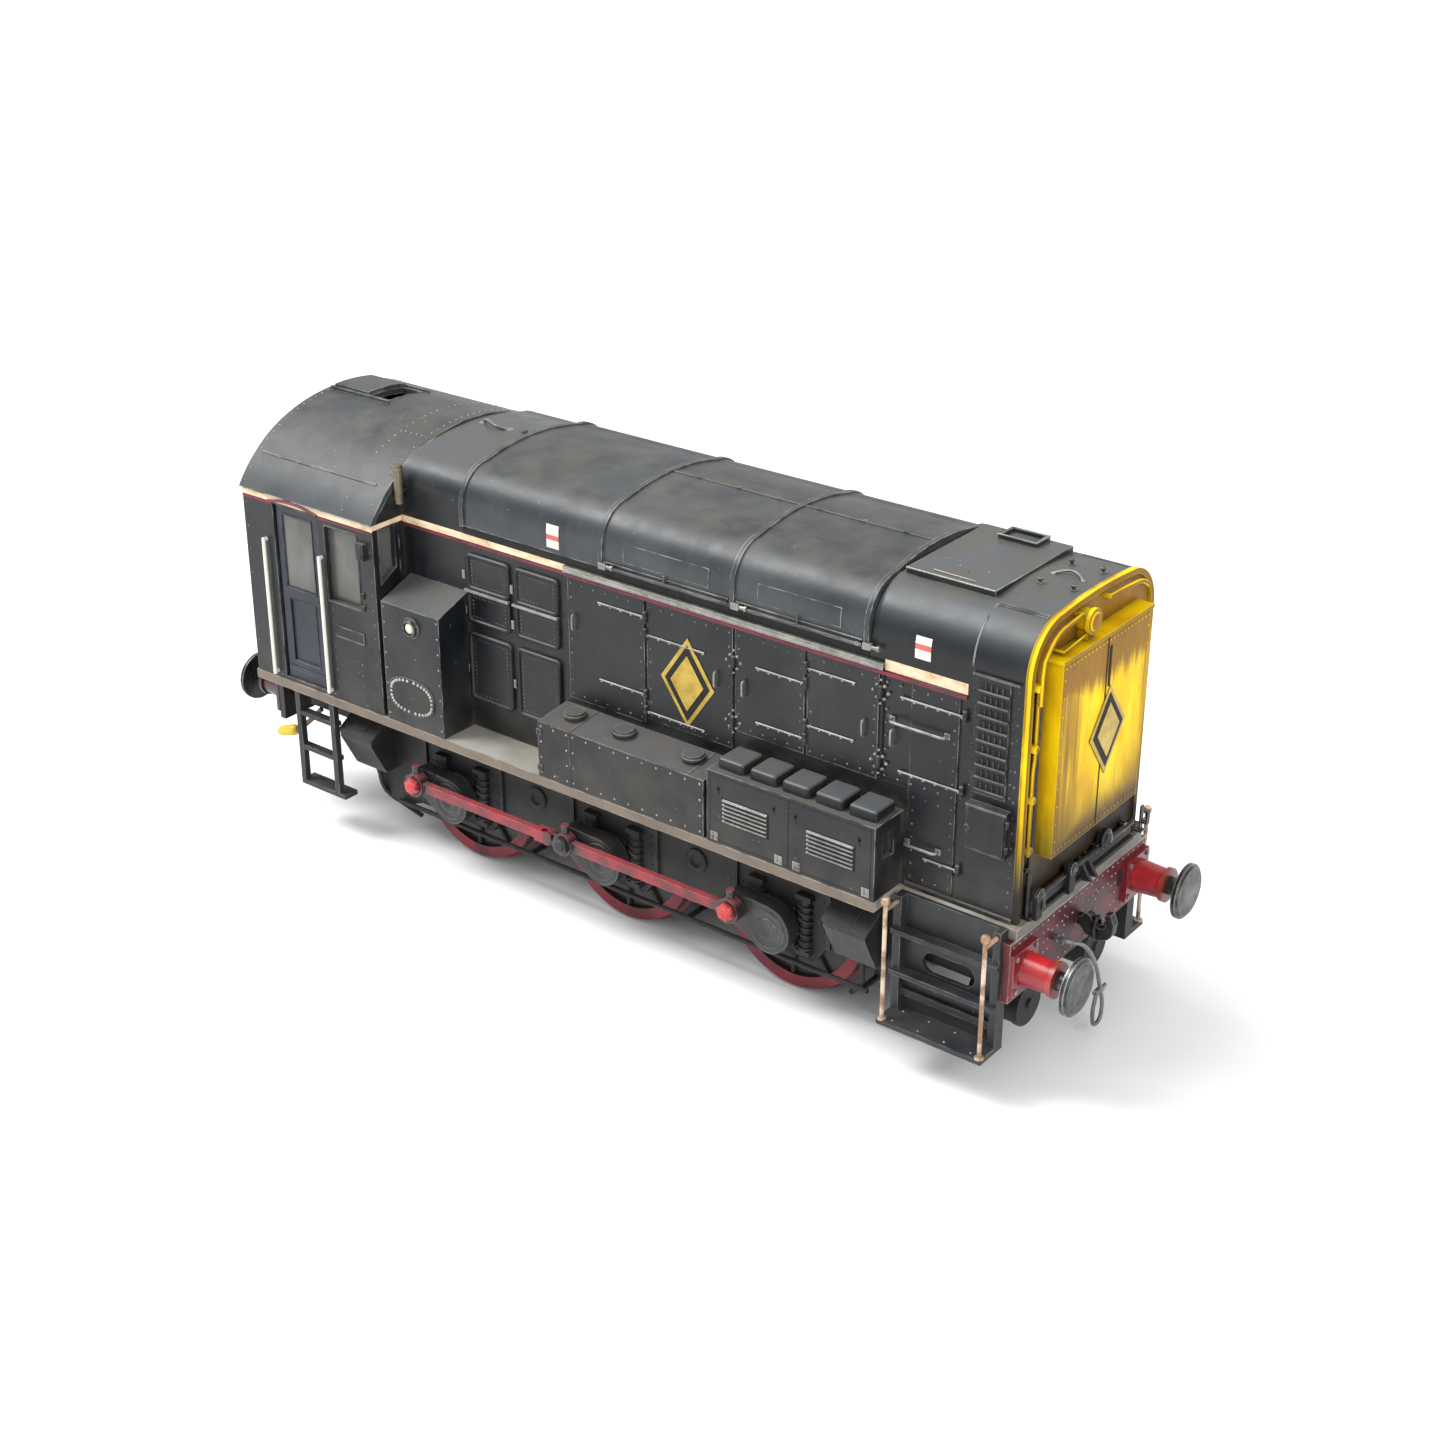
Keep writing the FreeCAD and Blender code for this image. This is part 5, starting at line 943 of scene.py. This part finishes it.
def build_tall_box_fittings():
    """A marker lamp, a bolted oval cover and rivets on each tall box."""
    rings, lens, plates, rivets, bolts = pairs(5)
    centre = (-43.3, BOX_HALF, 55.4)
    rings.turned(centre, OUT, [(-0.1, 2.2), (0.15, 2.2), (0.3, 1.9), (0.8, 1.8), (0.95, 1.55),
                               (0.8, 1.3), (0.4, 1.25)], 28)
    lens.turned(centre, OUT, [(0.0, 1.3), (0.5, 1.25), (0.8, 0.85), (0.9, 0.2)], 24)
    oval_middle, squareness = (-44.3, 40.0), 2.6
    plates.slab(ellipse(oval_middle, 6.3, 4.0, 40, squareness), 1, 29.25, 29.5)
    heads = ellipse(oval_middle, 5.6, 3.35, 34, squareness)
    bolts.rivets(on_side(heads, 29.48), OUT, 0.34, 0.24)
    rivets.rivets(on_side([(x, z) for x in (-50.9, -36.4) for z in spread(34.8, 58.0, 3.2)],
                          BOX_HALF), OUT, 0.2, 0.12)
    rings.make("lamp_rings", "dark_steel", smooth=True)
    lens.make("lamp_lenses", "pale_lens", "glazing", smooth=True)
    plates.make("oval_covers", "body_paint", bevel=0.08)
    rivets.make("tall_box_rivets", "edge_grey", "body_paint", smooth=True)
    bolts.make("oval_cover_bolts", "bolt_bright", "body_paint", smooth=True)


def build_tank_fittings():
    """Rivets, top straps, hinge lugs and filler caps of the tanks."""
    rivets, straps, caps = pairs(3)
    for x0, x1 in ((-9.8, -3.4), (-1.8, 28.6)):
        rivets.rivets(on_side(frame_spots(x0, x1, 34.3, 44.0, 3.4), BOX_HALF), OUT, 0.24, 0.16)
    straps.block((-2.75, -2.45), (29.2, 29.38), (33.3, 44.7))
    for x in (-2.6, 25.6):
        beam(straps, [(20.8, 45.85), (20.8, 46.05), (29.25, 45.05), (29.25, 44.85)],
             (x - 0.15, x + 0.15))
    for x in (-5.2, 6.9, 23.4):
        caps.turned((x, 24.6, 45.0), UP, [(0, 2.0), (0.9, 2.0), (1.0, 2.35), (1.35, 2.35),
                                          (1.5, 2.1), (1.56, 0.3)], 26)
    for z in (35.2, 42.8):
        straps.block((-10.8, -9.6), (29.2, 29.5), (z - 0.6, z + 0.6))
    straps.sides = ONCE
    for _ in SIDES:
        straps.block((-2.75, -2.45), (20.8, 20.9), (45.9, 46.0))
    rivets.make("tank_rivets", "edge_grey", "body_paint", smooth=True)
    straps.make("tank_straps", "body_paint", bevel=0.05)
    caps.make("filler_caps", "body_paint", bevel=0.05, smooth=True)


def build_battery_fittings():
    """Seams, grilles, keyholes and hinges of the battery box doors."""
    bars, dark, hinges = pairs(3)
    near, proud = 29.2, 29.34
    dark.block((48.17, 48.43), (near, 29.33), (33.9, 46.9))
    for x0, x1, z0, z1 in ((30.9, 65.9, 46.85, 47.05), (30.9, 65.9, 33.8, 34.0),
                           (30.9, 31.1, 33.9, 47.0), (65.7, 65.9, 33.9, 47.0)):
        dark.block((x0, x1), (near, 29.32), (z0, z1))
    for x0 in (33.6, 52.1):
        dark.block((x0, x0 + 10.5), (near, 29.36), (37.9, 42.9))
        for row in range(6):
            z = 38.3 + row * 0.82
            beam(bars, [(29.3, z + 0.36), (29.72, z + 0.1), (29.72, z - 0.05), (29.3, z - 0.1)],
                 (x0 + 0.3, x0 + 10.2))
    for x in (32.9, 45.2, 49.9, 63.4):
        dark.turned((x, 29.25, 44.6), OUT, [(0, 0.42), (0.1, 0.42)], 14)
        dark.block((x - 0.2, x + 0.2), (near, 29.35), (43.3, 44.6))
    for x in (31.9, 46.3, 50.2, 64.9):
        for z in (34.2, 35.1):
            for dx in (-0.4, 0.4):
                hinges.turned((x + dx, proud, z), OUT, [(-0.1, 0.3), (0.25, 0.3), (0.32, 0.15)], 8)
        hinges.block((x - 0.8, x + 0.8), (near, 29.42), (33.8, 35.5))
    bars.make("battery_louvres", "slat_grey", "body_paint", bevel=0.04)
    dark.make("battery_seams", "black_void", "body_paint")
    hinges.make("battery_hinges", "edge_grey", "body_paint", bevel=0.04)


# ---------------------------------------------------------------- cab

def build_cab_fittings():
    """Rivets, plates, hinges and window frames of the cab."""
    rivets, plates, frames = pairs(3)
    columns = [(-89.6, 35.0, 71.0, 5.2), (-65.8, 34.6, 53.2, 2.6), (-53.9, 34.6, 71.6, 3.0),
               (-59.6, 35.6, 51.4, 2.7), (-58.3, 35.6, 45.6, 2.7)]
    for x, z0, z1, gap in columns:
        rivets.rivets(on_side([(x, z) for z in spread(z0, z1, gap)], CAB_HALF), OUT, 0.22, 0.14)
    rivets.rivets(on_side([(x, 34.1) for x in spread(-89.2, -54.4, 3.2)], CAB_HALF), OUT, 0.2,
                  0.12)
    width, height = (-65.2, -57.0), (47.6, 50.2)
    plates.block(width, (29.05, 29.25), height)
    for xs, zs in ((width, (47.6, 47.85)), (width, (49.95, 50.2)), ((-65.2, -64.95), height),
                   ((-57.25, -57.0), height)):
        plates.block(xs, (29.2, 29.33), zs)
    plates.block((-57.0, -54.9), (29.05, 30.1), (66.6, 70.2))
    plates.block((-56.6, -55.3), (30.0, 30.25), (67.1, 69.7))
    for z in (58.6, 55.9):
        plates.turned((-56.6, 29.2, z - 0.7), UP, [(0, 0.3), (0.1, 0.45), (1.3, 0.45), (1.4, 0.3)],
                      10)
    ring = [(-62.0, 55.1), (-57.3, 55.1), (-57.3, 71.4), (-66.8, 71.4), (-66.8, 55.1),
            (-66.8, 55.1), (-62.0, 55.1)]
    frames.tube(soften(on_side(ring, CAB_HALF), 0.8, 3), 0.2, 8)
    pane = [(23.2, 64.0), (27.6, 61.5), (27.6, 73.2), (23.2, 73.2), (23.2, 64.0)]
    frames.tube([(-52.9, y, z) for y, z in pane], 0.2, 8)
    frames.block((-53.05, -52.75), (22.0, 22.25), (62.5, 73.0))
    back = [(6.0, 55.0), (22.0, 55.0), (22.0, 71.0), (6.0, 71.0), (6.0, 55.0)]
    frames.tube([(-90.6, y, z) for y, z in back], 0.22, 8)
    rivets.rivets([(-90.6, y, z) for y, z in [(27.9, h) for h in spread(35.0, 72.0, 3.4)]
                   + [(2.6, h) for h in spread(35.0, 79.0, 3.4)]], BACKWARD, 0.22, 0.14)
    rivets.make("cab_rivets", "body_paint", smooth=True)
    plates.make("cab_plates", "body_paint", bevel=0.08)
    frames.make("cab_window_frames", "body_paint", smooth=True)


def build_cab_rear():
    """Grab rails, lamp irons and a plain lamp on the cab's back wall."""
    wires, lamp = Mesh(SIDES), Mesh()
    wires.tube(soften([(x, 25.0, z) for x, z in ((-90.6, 38.0), (-91.9, 38.0), (-91.9, 52.0),
                                                 (-90.6, 52.0))], 0.9), 0.38)
    wires.sides = ONCE
    wires.tube(soften([(x, y, 52.3) for x, y in ((-90.6, -9.0), (-91.9, -9.0), (-91.9, 9.0),
                                                 (-90.6, 9.0))], 0.9), 0.38)
    lamp.turned((-90.6, 0, 77.2), (-1, 0, 0), [(-0.2, 1.9), (0.3, 1.9), (0.5, 1.6), (1.6, 1.6),
                                               (1.9, 1.3), (1.7, 0.4)], 24)
    for y in (-16.0, 0.0, 16.0):
        lamp.block((-91.5, -90.5), (y - 0.5, y + 0.5), (40.0, 42.6))
        lamp.block((-91.9, -91.3), (y - 0.5, y + 0.5), (41.2, 44.4))
    wires.make("cab_rear_rails", "rail_wire", smooth=True)
    lamp.make("cab_rear_lamp", "body_paint", bevel=0.06, smooth=True)


def build_cab_doors():
    """Each door's pane, mouldings, foot strip and knob, which swing with it."""
    for side, tag in ((-1, "right"), (1, "left")):
        body = "door_%s_body" % tag
        pane, trim = Mesh(), Mesh()
        pane.block((-79.7, -71.0), (28.05 * side, 28.4 * side), (54.8, 70.7))
        for x0, x1, z0, z1 in ((-79.8, -70.9, 54.6, 70.9), (-79.2, -71.5, 38.2, 52.2)):
            path = [(x0, z0), (x1, z0), (x1, z1), (x0, z1), (x0, z0)]
            trim.tube([(x, 28.65 * side, z) for x, z in path], 0.17, 8)
        trim.block((-80.9, -69.6), (28.6 * side, 28.8 * side), (36.0, 36.9))
        trim.turned((-70.2, 28.6 * side, 53.4), (0, side, 0),
                    [(0, 0.45), (0.15, 0.45), (0.2, 0.2), (0.35, 0.3), (0.42, 0.15)], 12)
        pane.make("door_pane_" + tag, "glazing", body=body, bevel=0.03)
        trim.make("door_trim_" + tag, "door_blue", body=body, smooth=True)


def build_roof_fittings():
    """Rain strips, rivet rows, and lips round the opening that the hatch slides over."""
    strips, rivets, lips = Mesh(SIDES), Mesh(), Mesh()
    strip_reach = 24.0
    height, normal = roof_top(strip_reach)
    downhill = Vector((0, -normal.z, normal.y))
    section = ((-0.35, -0.1), (0.35, -0.1), (0.25, 0.2), (-0.25, 0.2))
    strips.loft([[Vector((x, strip_reach, height)) + normal * off + downhill * shift
                  for shift, off in section] for x in (-89.2, -56.2)])
    spots = [(x, y, 0.22, 0.16) for x in (-54.6, -61.6, -90.0) for y in spread(-28.6, 28.6, 1.75)]
    spots += [(x, y, 0.2, 0.13) for y in (-11.0, 14.5) for x in spread(-60.5, -56.0, 1.5)]
    for x, y, radius, proud in spots:
        height, normal = roof_top(y)
        rivets.rivets([(x, y, height)], normal, radius, proud)
    for y in (-2.05, 7.45):
        lips.tube([(x, y, roof_top(y)[0]) for x in (-79.9, -73.9)], 0.16, 8)
    for x in (-79.8, -74.1):
        lips.tube([(x, y, roof_top(y)[0]) for y in spread(-2.0, 7.4, 1.2)], 0.16, 8)
    strips.make("roof_strips", "roof_paint", bevel=0.05)
    rivets.make("roof_rivets", "edge_grey", "roof_paint", smooth=True)
    lips.make("roof_opening_lips", "roof_paint", smooth=True)


# ---------------------------------------------------------------- nose and front deck

def build_nose_fittings():
    """Rivets, seam, arched rails and pipes on the radiator end."""
    rivets, seam, rails = Mesh(), Mesh(), Mesh()
    rivets.rivets([(RADIATOR_FACE, y, z) for y in spread(-14.2, 14.2, 1.25) for z in (45.4, 79.4)],
                  FORWARD, 0.24, 0.2)
    rivets.rivets([(RADIATOR_FACE, y, z) for y in (-14.3, 14.3) for z in spread(47.5, 77.3, 3.4)],
                  FORWARD, 0.22, 0.16)
    seam.block((92.55, 92.68), (-0.18, 0.18), (44.8, 80.0))
    seam.block((92.55, 92.75), (0.7, 1.3), (70.8, 78.2))
    half, spring, shoulder, rise = NOSE_ARCH
    inset = 1.9
    inner_arch = (half - inset, spring, shoulder - inset, rise)
    for start, end in ((2.6, 16.5), (-6.8, -16.5)):
        path = [(90.9, y, arch_top(y, inner_arch)) for y in spread(start, end, 1.2)]
        if start < 0:
            path += [(90.9, -18.4, 81.6), (90.9, -18.75, 79.0), (90.9, -18.8, 74.0)]
        rails.tube([(89.4,) + path[0][1:]] + path, 0.42, 12)
    rails.tube(soften([(90.3, -19.0, 46.0), (90.3, -19.0, 62.0), (90.3, -18.6, 64.0),
                       (90.3, -18.6, 78.0)], 1.2), 0.38)
    for z in (47.0, 56.5, 66.0, 77.0):
        rails.turned((89.4, -18.9, z), FORWARD, [(0, 0.8), (1.2, 0.8), (1.5, 0.55)], 12)
    for z in (46.8, 50.2):
        rails.block((89.3, 90.8), (17.2, 18.4), (z - 0.5, z + 0.5))
    rails.tube([(89.5, -13.2, 81.6), (91.4, -13.2, 81.6), (91.4, -4.4, 82.4)], 0.3, 8)
    rivets.make("radiator_rivets", "nose_yellow", smooth=True)
    seam.make("radiator_seam", "black_void", "nose_yellow")
    rails.make("nose_rails", "nose_yellow", smooth=True)
    glass = Mesh()
    glass.turned((91.9, -4.4, 84.3), FORWARD, [(0, 1.75), (0.3, 1.7), (0.62, 1.2), (0.72, 0.3)],
                 24)
    glass.make("headlamp_glass", "nose_yellow", smooth=True)


def build_front_deck():
    """The sooty bar across the nose foot, its rounded posts, and the lamp irons."""
    bar, irons, disc = Mesh(), Mesh(), Mesh()
    bar.block((90.0, 90.9), (-17.8, 17.8), (34.6, 36.9))
    bar.block((89.4, 91.3), (-18.4, 18.4), (33.2, 33.9))
    for y in (-16.6, -5.4):
        outline = [(y - 1.0, 33.2), (y + 1.0, 33.2)]
        outline += [(y + 1.0 * math.cos(a), 38.2 + 1.0 * math.sin(a))
                    for a in [math.pi * t / 8 for t in range(9)]]
        bar.slab(outline, 0, 90.6, 92.0)
    for y, z in ((-16.6, 38.0), (-5.4, 38.0), (7.2, 38.2)):
        disc.turned((91.6, y, z), FORWARD, [(0, 1.2), (0.5, 1.2), (0.7, 0.9), (0.75, 0.4),
                                            (1.0, 0.35)], 18)
    disc.turned((90.6, 7.2, 38.2), FORWARD, [(0, 1.9), (1.0, 1.9), (1.2, 1.6), (1.3, 0.6)], 24)
    for y in (1.2, -0.9):
        bar.slab([(90.4, 33.2), (93.2, 33.6), (90.4, 37.8)], 1, y, y + 0.7)
    for y in (-15.7, 21.8):
        irons.block((89.0, 91.4), (y - 0.75, y + 0.75), (33.15, 33.55))
        irons.block((90.6, 91.0), (y - 0.5, y + 0.5), (33.3, 38.4))
        irons.block((90.6, 92.2), (y - 0.5, y + 0.5), (35.0, 35.4))
        irons.block((91.9, 92.3), (y - 0.5, y + 0.5), (35.0, 37.8))
    bar.make("deck_bar", "underframe", bevel=0.12)
    disc.make("deck_valves", "dark_steel", smooth=True)
    irons.make("lamp_irons", "dark_steel", bevel=0.06)


def build_beam_fittings():
    """Rivets, slots, top edge and buffer bolts of both beams."""
    rivets, slots, edge = Mesh(), Mesh(), Mesh()
    for end in SIDES:
        face = (end, 0, 0)
        at = BEAM_FACE * end
        spots = [(y, 30.3) for y in spread(-23.0, 23.0, 1.9)]
        spots += [(y, 20.5) for y in spread(-23.0, 23.0, 2.3)]
        spots += [(y, z) for y in (-23.1, -12.8, -11.4, -5.6, 5.6, 11.4, 12.8, 23.1)
                  for z in spread(22.6, 28.4, 1.95)]
        spots += [(y, 27.6) for y in spread(-10.0, 10.0, 1.9) if abs(y) > 1.5]
        rivets.rivets([(at, y, z) for y, z in spots], face, 0.24, 0.18)
        for y in (-14.6, 14.6):
            slots.block((at - 0.2 * end, at + 0.12 * end), (y - 0.5, y + 0.5), (25.0, 28.2))
        edge.block((at - 0.3 * end, at + 0.06 * end), (-24.0, 24.0), (31.0, 31.3))
        for side in SIDES:
            for dy in (-3.2, 3.2):
                for dz in (-3.2, 3.2):
                    rivets.turned((at + 0.9 * end, 20.0 * side + dy, 25.2 + dz), face,
                                  [(-0.05, 0.5), (0.3, 0.5), (0.42, 0.3)], 6)
    rivets.make("beam_rivets", "edge_grey", "beam_red", smooth=True)
    slots.make("beam_slots", "black_void", "beam_red")
    edge.make("beam_edges", "edge_grey", "beam_red", bevel=0.05)


def build_couplings():
    """A plain link hung from each hook."""
    turns = [2 * math.pi * step / 24 for step in range(25)]
    for end, tag in ((1, "front"), (-1, "rear")):
        link = Mesh()
        link.tube([(94.6 * end, 1.25 * math.cos(turn), 24.6 + 2.1 * math.sin(turn))
                   for turn in turns], 0.42)
        link.make("coupling_link_" + tag, "dark_steel", body="hook_%s_body" % tag, smooth=True)


# ---------------------------------------------------------------- running gear

def pin_spot(axle, side):
    angle = math.radians(CRANK_ANGLE[side])
    return (AXLES[axle] + CRANK_THROW * math.cos(angle),
            AXLE_HEIGHT + CRANK_THROW * math.sin(angle))


def build_crank_fittings():
    """Nuts on the crankpins and stepped bosses on the cranks, turning with the axles."""
    for axle, x in AXLES.items():
        nuts, bosses = Mesh(), Mesh()
        for side in SIDES:
            px, pz = pin_spot(axle, side)
            face = (0, side, 0)
            nuts.turned((px, 28.4 * side, pz), face, [(0, 1.95), (0.75, 1.95), (0.92, 1.6)], 6)
            nuts.turned((px, 28.4 * side, pz), face, [(0.7, 1.2), (1.1, 1.15), (1.2, 0.8)], 14)
            bosses.turned((x, 25.75 * side, AXLE_HEIGHT), face,
                          [(0, 4.0), (0.2, 3.9), (0.22, 3.2), (0.1, 3.0), (0.1, 2.3), (0.24, 2.2),
                           (0.25, 1.2), (0.12, 1.0), (0.12, 0.3)], 32)
        finish = "crank_black" if axle == "middle" else "nut_red"
        nuts.make("crankpin_nuts_" + axle, finish, "rod_red", "wheelset_" + axle, bevel=0.06)
        bosses.make("crank_bosses_" + axle, "crank_black", body="wheelset_" + axle, smooth=True)


def build_wheel_fittings():
    """Raised spokes on each wheel's face."""
    count, hub, rim = 10, 3.2, 13.5
    for axle, x in AXLES.items():
        spokes = Mesh(SIDES)
        centre = Vector((x, 0, AXLE_HEIGHT))
        for index in range(count):
            angle = 2 * math.pi * (index + 0.5) / count
            along = Vector((math.cos(angle), 0, math.sin(angle)))
            across = Vector((-along.z, 0, along.x))
            rings = []
            for reach, half in ((hub, 0.95), (rim, 0.6)):
                foot = centre + along * reach
                rings.append([foot + across * shift + Vector((0, y, 0)) for shift, y in (
                    (-half, 16.6), (half, 16.6), (half * 0.6, 17.5), (-half * 0.6, 17.5))])
            spokes.loft(rings)
        spokes.make("wheel_spokes_" + axle, "underframe", "wheel_paint", "wheelset_" + axle,
                    bevel=0.15)


def build_frame_fittings():
    """Axle springs and their seats, discs, hoppers, sand pipes and frame rivets."""
    lids, coils, rivets, pipes = pairs(4)
    coil_radius, coil_height, coil_steps = 1.35, 10.2, 88
    for x in AXLES.values():
        for middle in (x - 5.4, x + 5.4):
            coils.tube([(middle + coil_radius * math.cos(t * 0.5),
                         21.1 + coil_radius * math.sin(t * 0.5),
                         12.6 + coil_height * t / coil_steps)
                        for t in range(coil_steps + 1)], 0.24, 6)
            lids.block((middle - 1.7, middle + 1.7), (20.6, 22.3), (22.9, 24.0))
            lids.block((middle - 1.5, middle + 1.5), (20.6, 22.2), (11.3, 12.3))
        rivets.rivets([(x + dx, FRAME_FACE, z) for dx in (-9.2, 9.2)
                       for z in spread(15.0, 29.5, 2.1)], OUT, 0.24, 0.16)
    rivets.rivets([(x, FRAME_FACE, 30.2) for x in spread(-83.0, 86.0, 2.6)], OUT, 0.24, 0.16)
    for x in (-19.2, 21.2):
        lids.turned((x, 20.7, 22.0), OUT, [(0, 2.4), (0.5, 2.4), (0.7, 2.0), (0.7, 1.4),
                                           (0.3, 1.2)], 22)
    hopper_lid = [(23.6, 28.0), (28.4, 24.95), (28.6, 25.4), (23.8, 28.5)]
    small_lid = [(25.0, 27.6), (27.0, 26.3), (27.2, 26.7), (25.2, 28.0)]
    for x, reach in ((-63.0, 6.0), (60.0, -6.0)):
        pipes.tube(soften([(x, 22.4, 17.0), (x, 21.6, 10.0), (x + reach, 16.4, 3.4)], 3.0), 0.5)
        beam(lids, hopper_lid, (x - 4.9, x + 4.9))
        beam(lids, small_lid, (x - 1.8, x + 1.8))
    lids.make("axlebox_fittings", "underframe", bevel=0.12, smooth=True)
    coils.make("axle_springs", "underframe", smooth=True)
    rivets.make("frame_rivets", "underframe", smooth=True)
    pipes.make("sand_pipes", "underframe", smooth=True)


def build_rear_pipe():
    """A short pipe with a yellow end behind the rear steps."""
    pipe, tip = pairs(2)
    path = soften([(-80.0, 22.0, 24.0), (-83.6, 23.0, 20.0), (-87.0, 23.6, 17.4)], 2.5)
    pipe.tube(path, 0.55)
    tip.turned((-86.4, 23.5, 17.8), (-0.94, 0.1, -0.3),
               [(0, 0.6), (0.3, 1.0), (1.2, 1.25), (4.4, 1.15), (5.6, 0.8), (5.8, 0.3)], 16)
    pipe.make("rear_pipes", "dust_brown", "underframe", smooth=True)
    tip.make("rear_pipe_ends", "nut_yellow", "nose_yellow", smooth=True)


def build_step_fittings():
    """Rivets on the front steps' treads and the tan rails beside them."""
    rivets, rails = pairs(2)
    for x in (70.6, 76.0, 81.4, 86.8):
        for y in (24.6, 28.2):
            rivets.rivets([(x, y, 10.2)], UP, 0.24, 0.14)
    for x in (68.7, 88.7):
        rails.tube([(x, 28.6, 10.0), (x, 28.6, 33.4)], 0.38)
        rails.turned((x, 28.6, 10.1), UP, [(0, 0.9), (0.3, 0.85), (0.5, 0.5)], 12)
        rails.turned((x, 28.6, 33.1), UP, [(0, 0.5), (0.3, 0.75), (0.8, 0.86), (1.3, 0.75),
                                           (1.65, 0.3)], 14)
        rails.tube([(x, 28.6, 32.2), (x, 24.8, 32.2)], 0.42)
    rivets.make("step_rivets", "edge_grey", "step_black", smooth=True)
    rails.make("step_rails", "tan_rail", "rail_wire", smooth=True)


for build in (build_lining, build_labels, build_plaques, build_panels, build_doors,
              build_nose_sides, build_cover_fittings, build_bonnet_top, build_tall_box_fittings,
              build_tank_fittings, build_battery_fittings, build_cab_fittings, build_cab_rear,
              build_cab_doors, build_roof_fittings, build_nose_fittings, build_front_deck,
              build_beam_fittings, build_couplings, build_crank_fittings, build_wheel_fittings,
              build_frame_fittings, build_rear_pipe, build_step_fittings):
    build()


# ---------------------------------------------------------------- stage, lights and camera

def build_stage():
    data = bpy.data.meshes.new("floor")
    reach = 6.0
    corners = ((-reach, -reach), (reach, -reach), (reach, reach), (-reach, reach))
    data.from_pydata([(x, y, 0.0) for x, y in corners], [], [(0, 1, 2, 3)])
    floor = bpy.data.objects.new("floor", data)
    bpy.context.scene.collection.objects.link(floor)
    g = Graph("pale_floor")
    g.colour = g.mix(g.noise(3.0, detail=2.0), (238.6, 238.6, 238.6), (243.4, 243.4, 243.4))
    data.materials.append(g.finish(0.9, specular=0.1))


def aimed(name, data, rotation, place=(0, 0, 0)):
    thing = bpy.data.objects.new(name, data)
    bpy.context.scene.collection.objects.link(thing)
    thing.location = place
    thing.rotation_mode = "QUATERNION"
    thing.rotation_quaternion = rotation
    return thing


def area_light(name, place, target, size, power):
    data = bpy.data.lights.new(name, "AREA")
    data.shape, data.size, data.energy = "DISK", size, power
    aimed(name, data, (Vector(target) - Vector(place)).to_track_quat("-Z", "Y"), place)


SKY_TINT, SKY_LOW, SKY_HIGH = (0.97, 0.985, 1.0, 1.0), 0.72, 1.0
KEY_POWER, KEY_WIDTH, KEY_AIM = 1.6, 32, (0.5, 0.22, -1.0)
# Name, place and target in metres, width and power of each lamp.
LAMPS = (("nose_fill", (0.55, -0.2, 0.35), (0.06, 0.0, 0.05), 0.3, 1.6),
         ("softbox", (-0.5, -0.36, 0.72), (0.0, 0.0, 0.06), 0.35, 4.5))


def build_light():
    """A sky that brightens upwards, a wide soft key from behind the cab, and two lamps."""
    world = bpy.data.worlds.new("soft_sky")
    world.use_nodes = True
    tree = world.node_tree
    place = tree.nodes.new("ShaderNodeTexCoord")
    split = tree.nodes.new("ShaderNodeSeparateXYZ")
    ramp = tree.nodes.new("ShaderNodeMapRange")
    ramp.inputs["To Min"].default_value, ramp.inputs["To Max"].default_value = SKY_LOW, SKY_HIGH
    tree.links.new(place.outputs["Generated"], split.inputs[0])
    tree.links.new(split.outputs["Z"], ramp.inputs["Value"])
    tree.links.new(ramp.outputs[0], tree.nodes["Background"].inputs["Strength"])
    tree.nodes["Background"].inputs["Color"].default_value = SKY_TINT
    bpy.context.scene.world = world
    bpy.context.scene.view_settings.view_transform = "Standard"
    sun = bpy.data.lights.new("key", "SUN")
    sun.energy, sun.angle = KEY_POWER, math.radians(KEY_WIDTH)
    aimed("key", sun, Vector(KEY_AIM).to_track_quat("-Z", "Y"))
    for lamp in LAMPS:
        area_light(*lamp)


CAMERA_PLACE, CAMERA_TURN = (0.24685, -0.30529, 0.22971), (37.86, 24.15, -0.07)
CAMERA_LENS, CAMERA_SHIFT = 54.97, (0.0047, -0.0554)


def build_camera():
    """The camera's turn is its azimuth and elevation as seen from the model, and its roll."""
    data = bpy.data.cameras.new("camera")
    data.sensor_width, data.lens = 36.0, CAMERA_LENS
    data.shift_x, data.shift_y = CAMERA_SHIFT
    data.clip_start, data.clip_end = 0.01, 20.0
    azimuth, elevation, roll = [math.radians(angle) for angle in CAMERA_TURN]
    back = Vector((math.sin(azimuth) * math.cos(elevation),
                   -math.cos(azimuth) * math.cos(elevation), math.sin(elevation)))
    turn = (-back).to_track_quat("-Z", "Y").to_matrix() @ Matrix.Rotation(roll, 3, "Z")
    bpy.context.scene.camera = aimed("camera", data, turn.to_quaternion(), CAMERA_PLACE)


build_stage()
build_light()
build_camera()
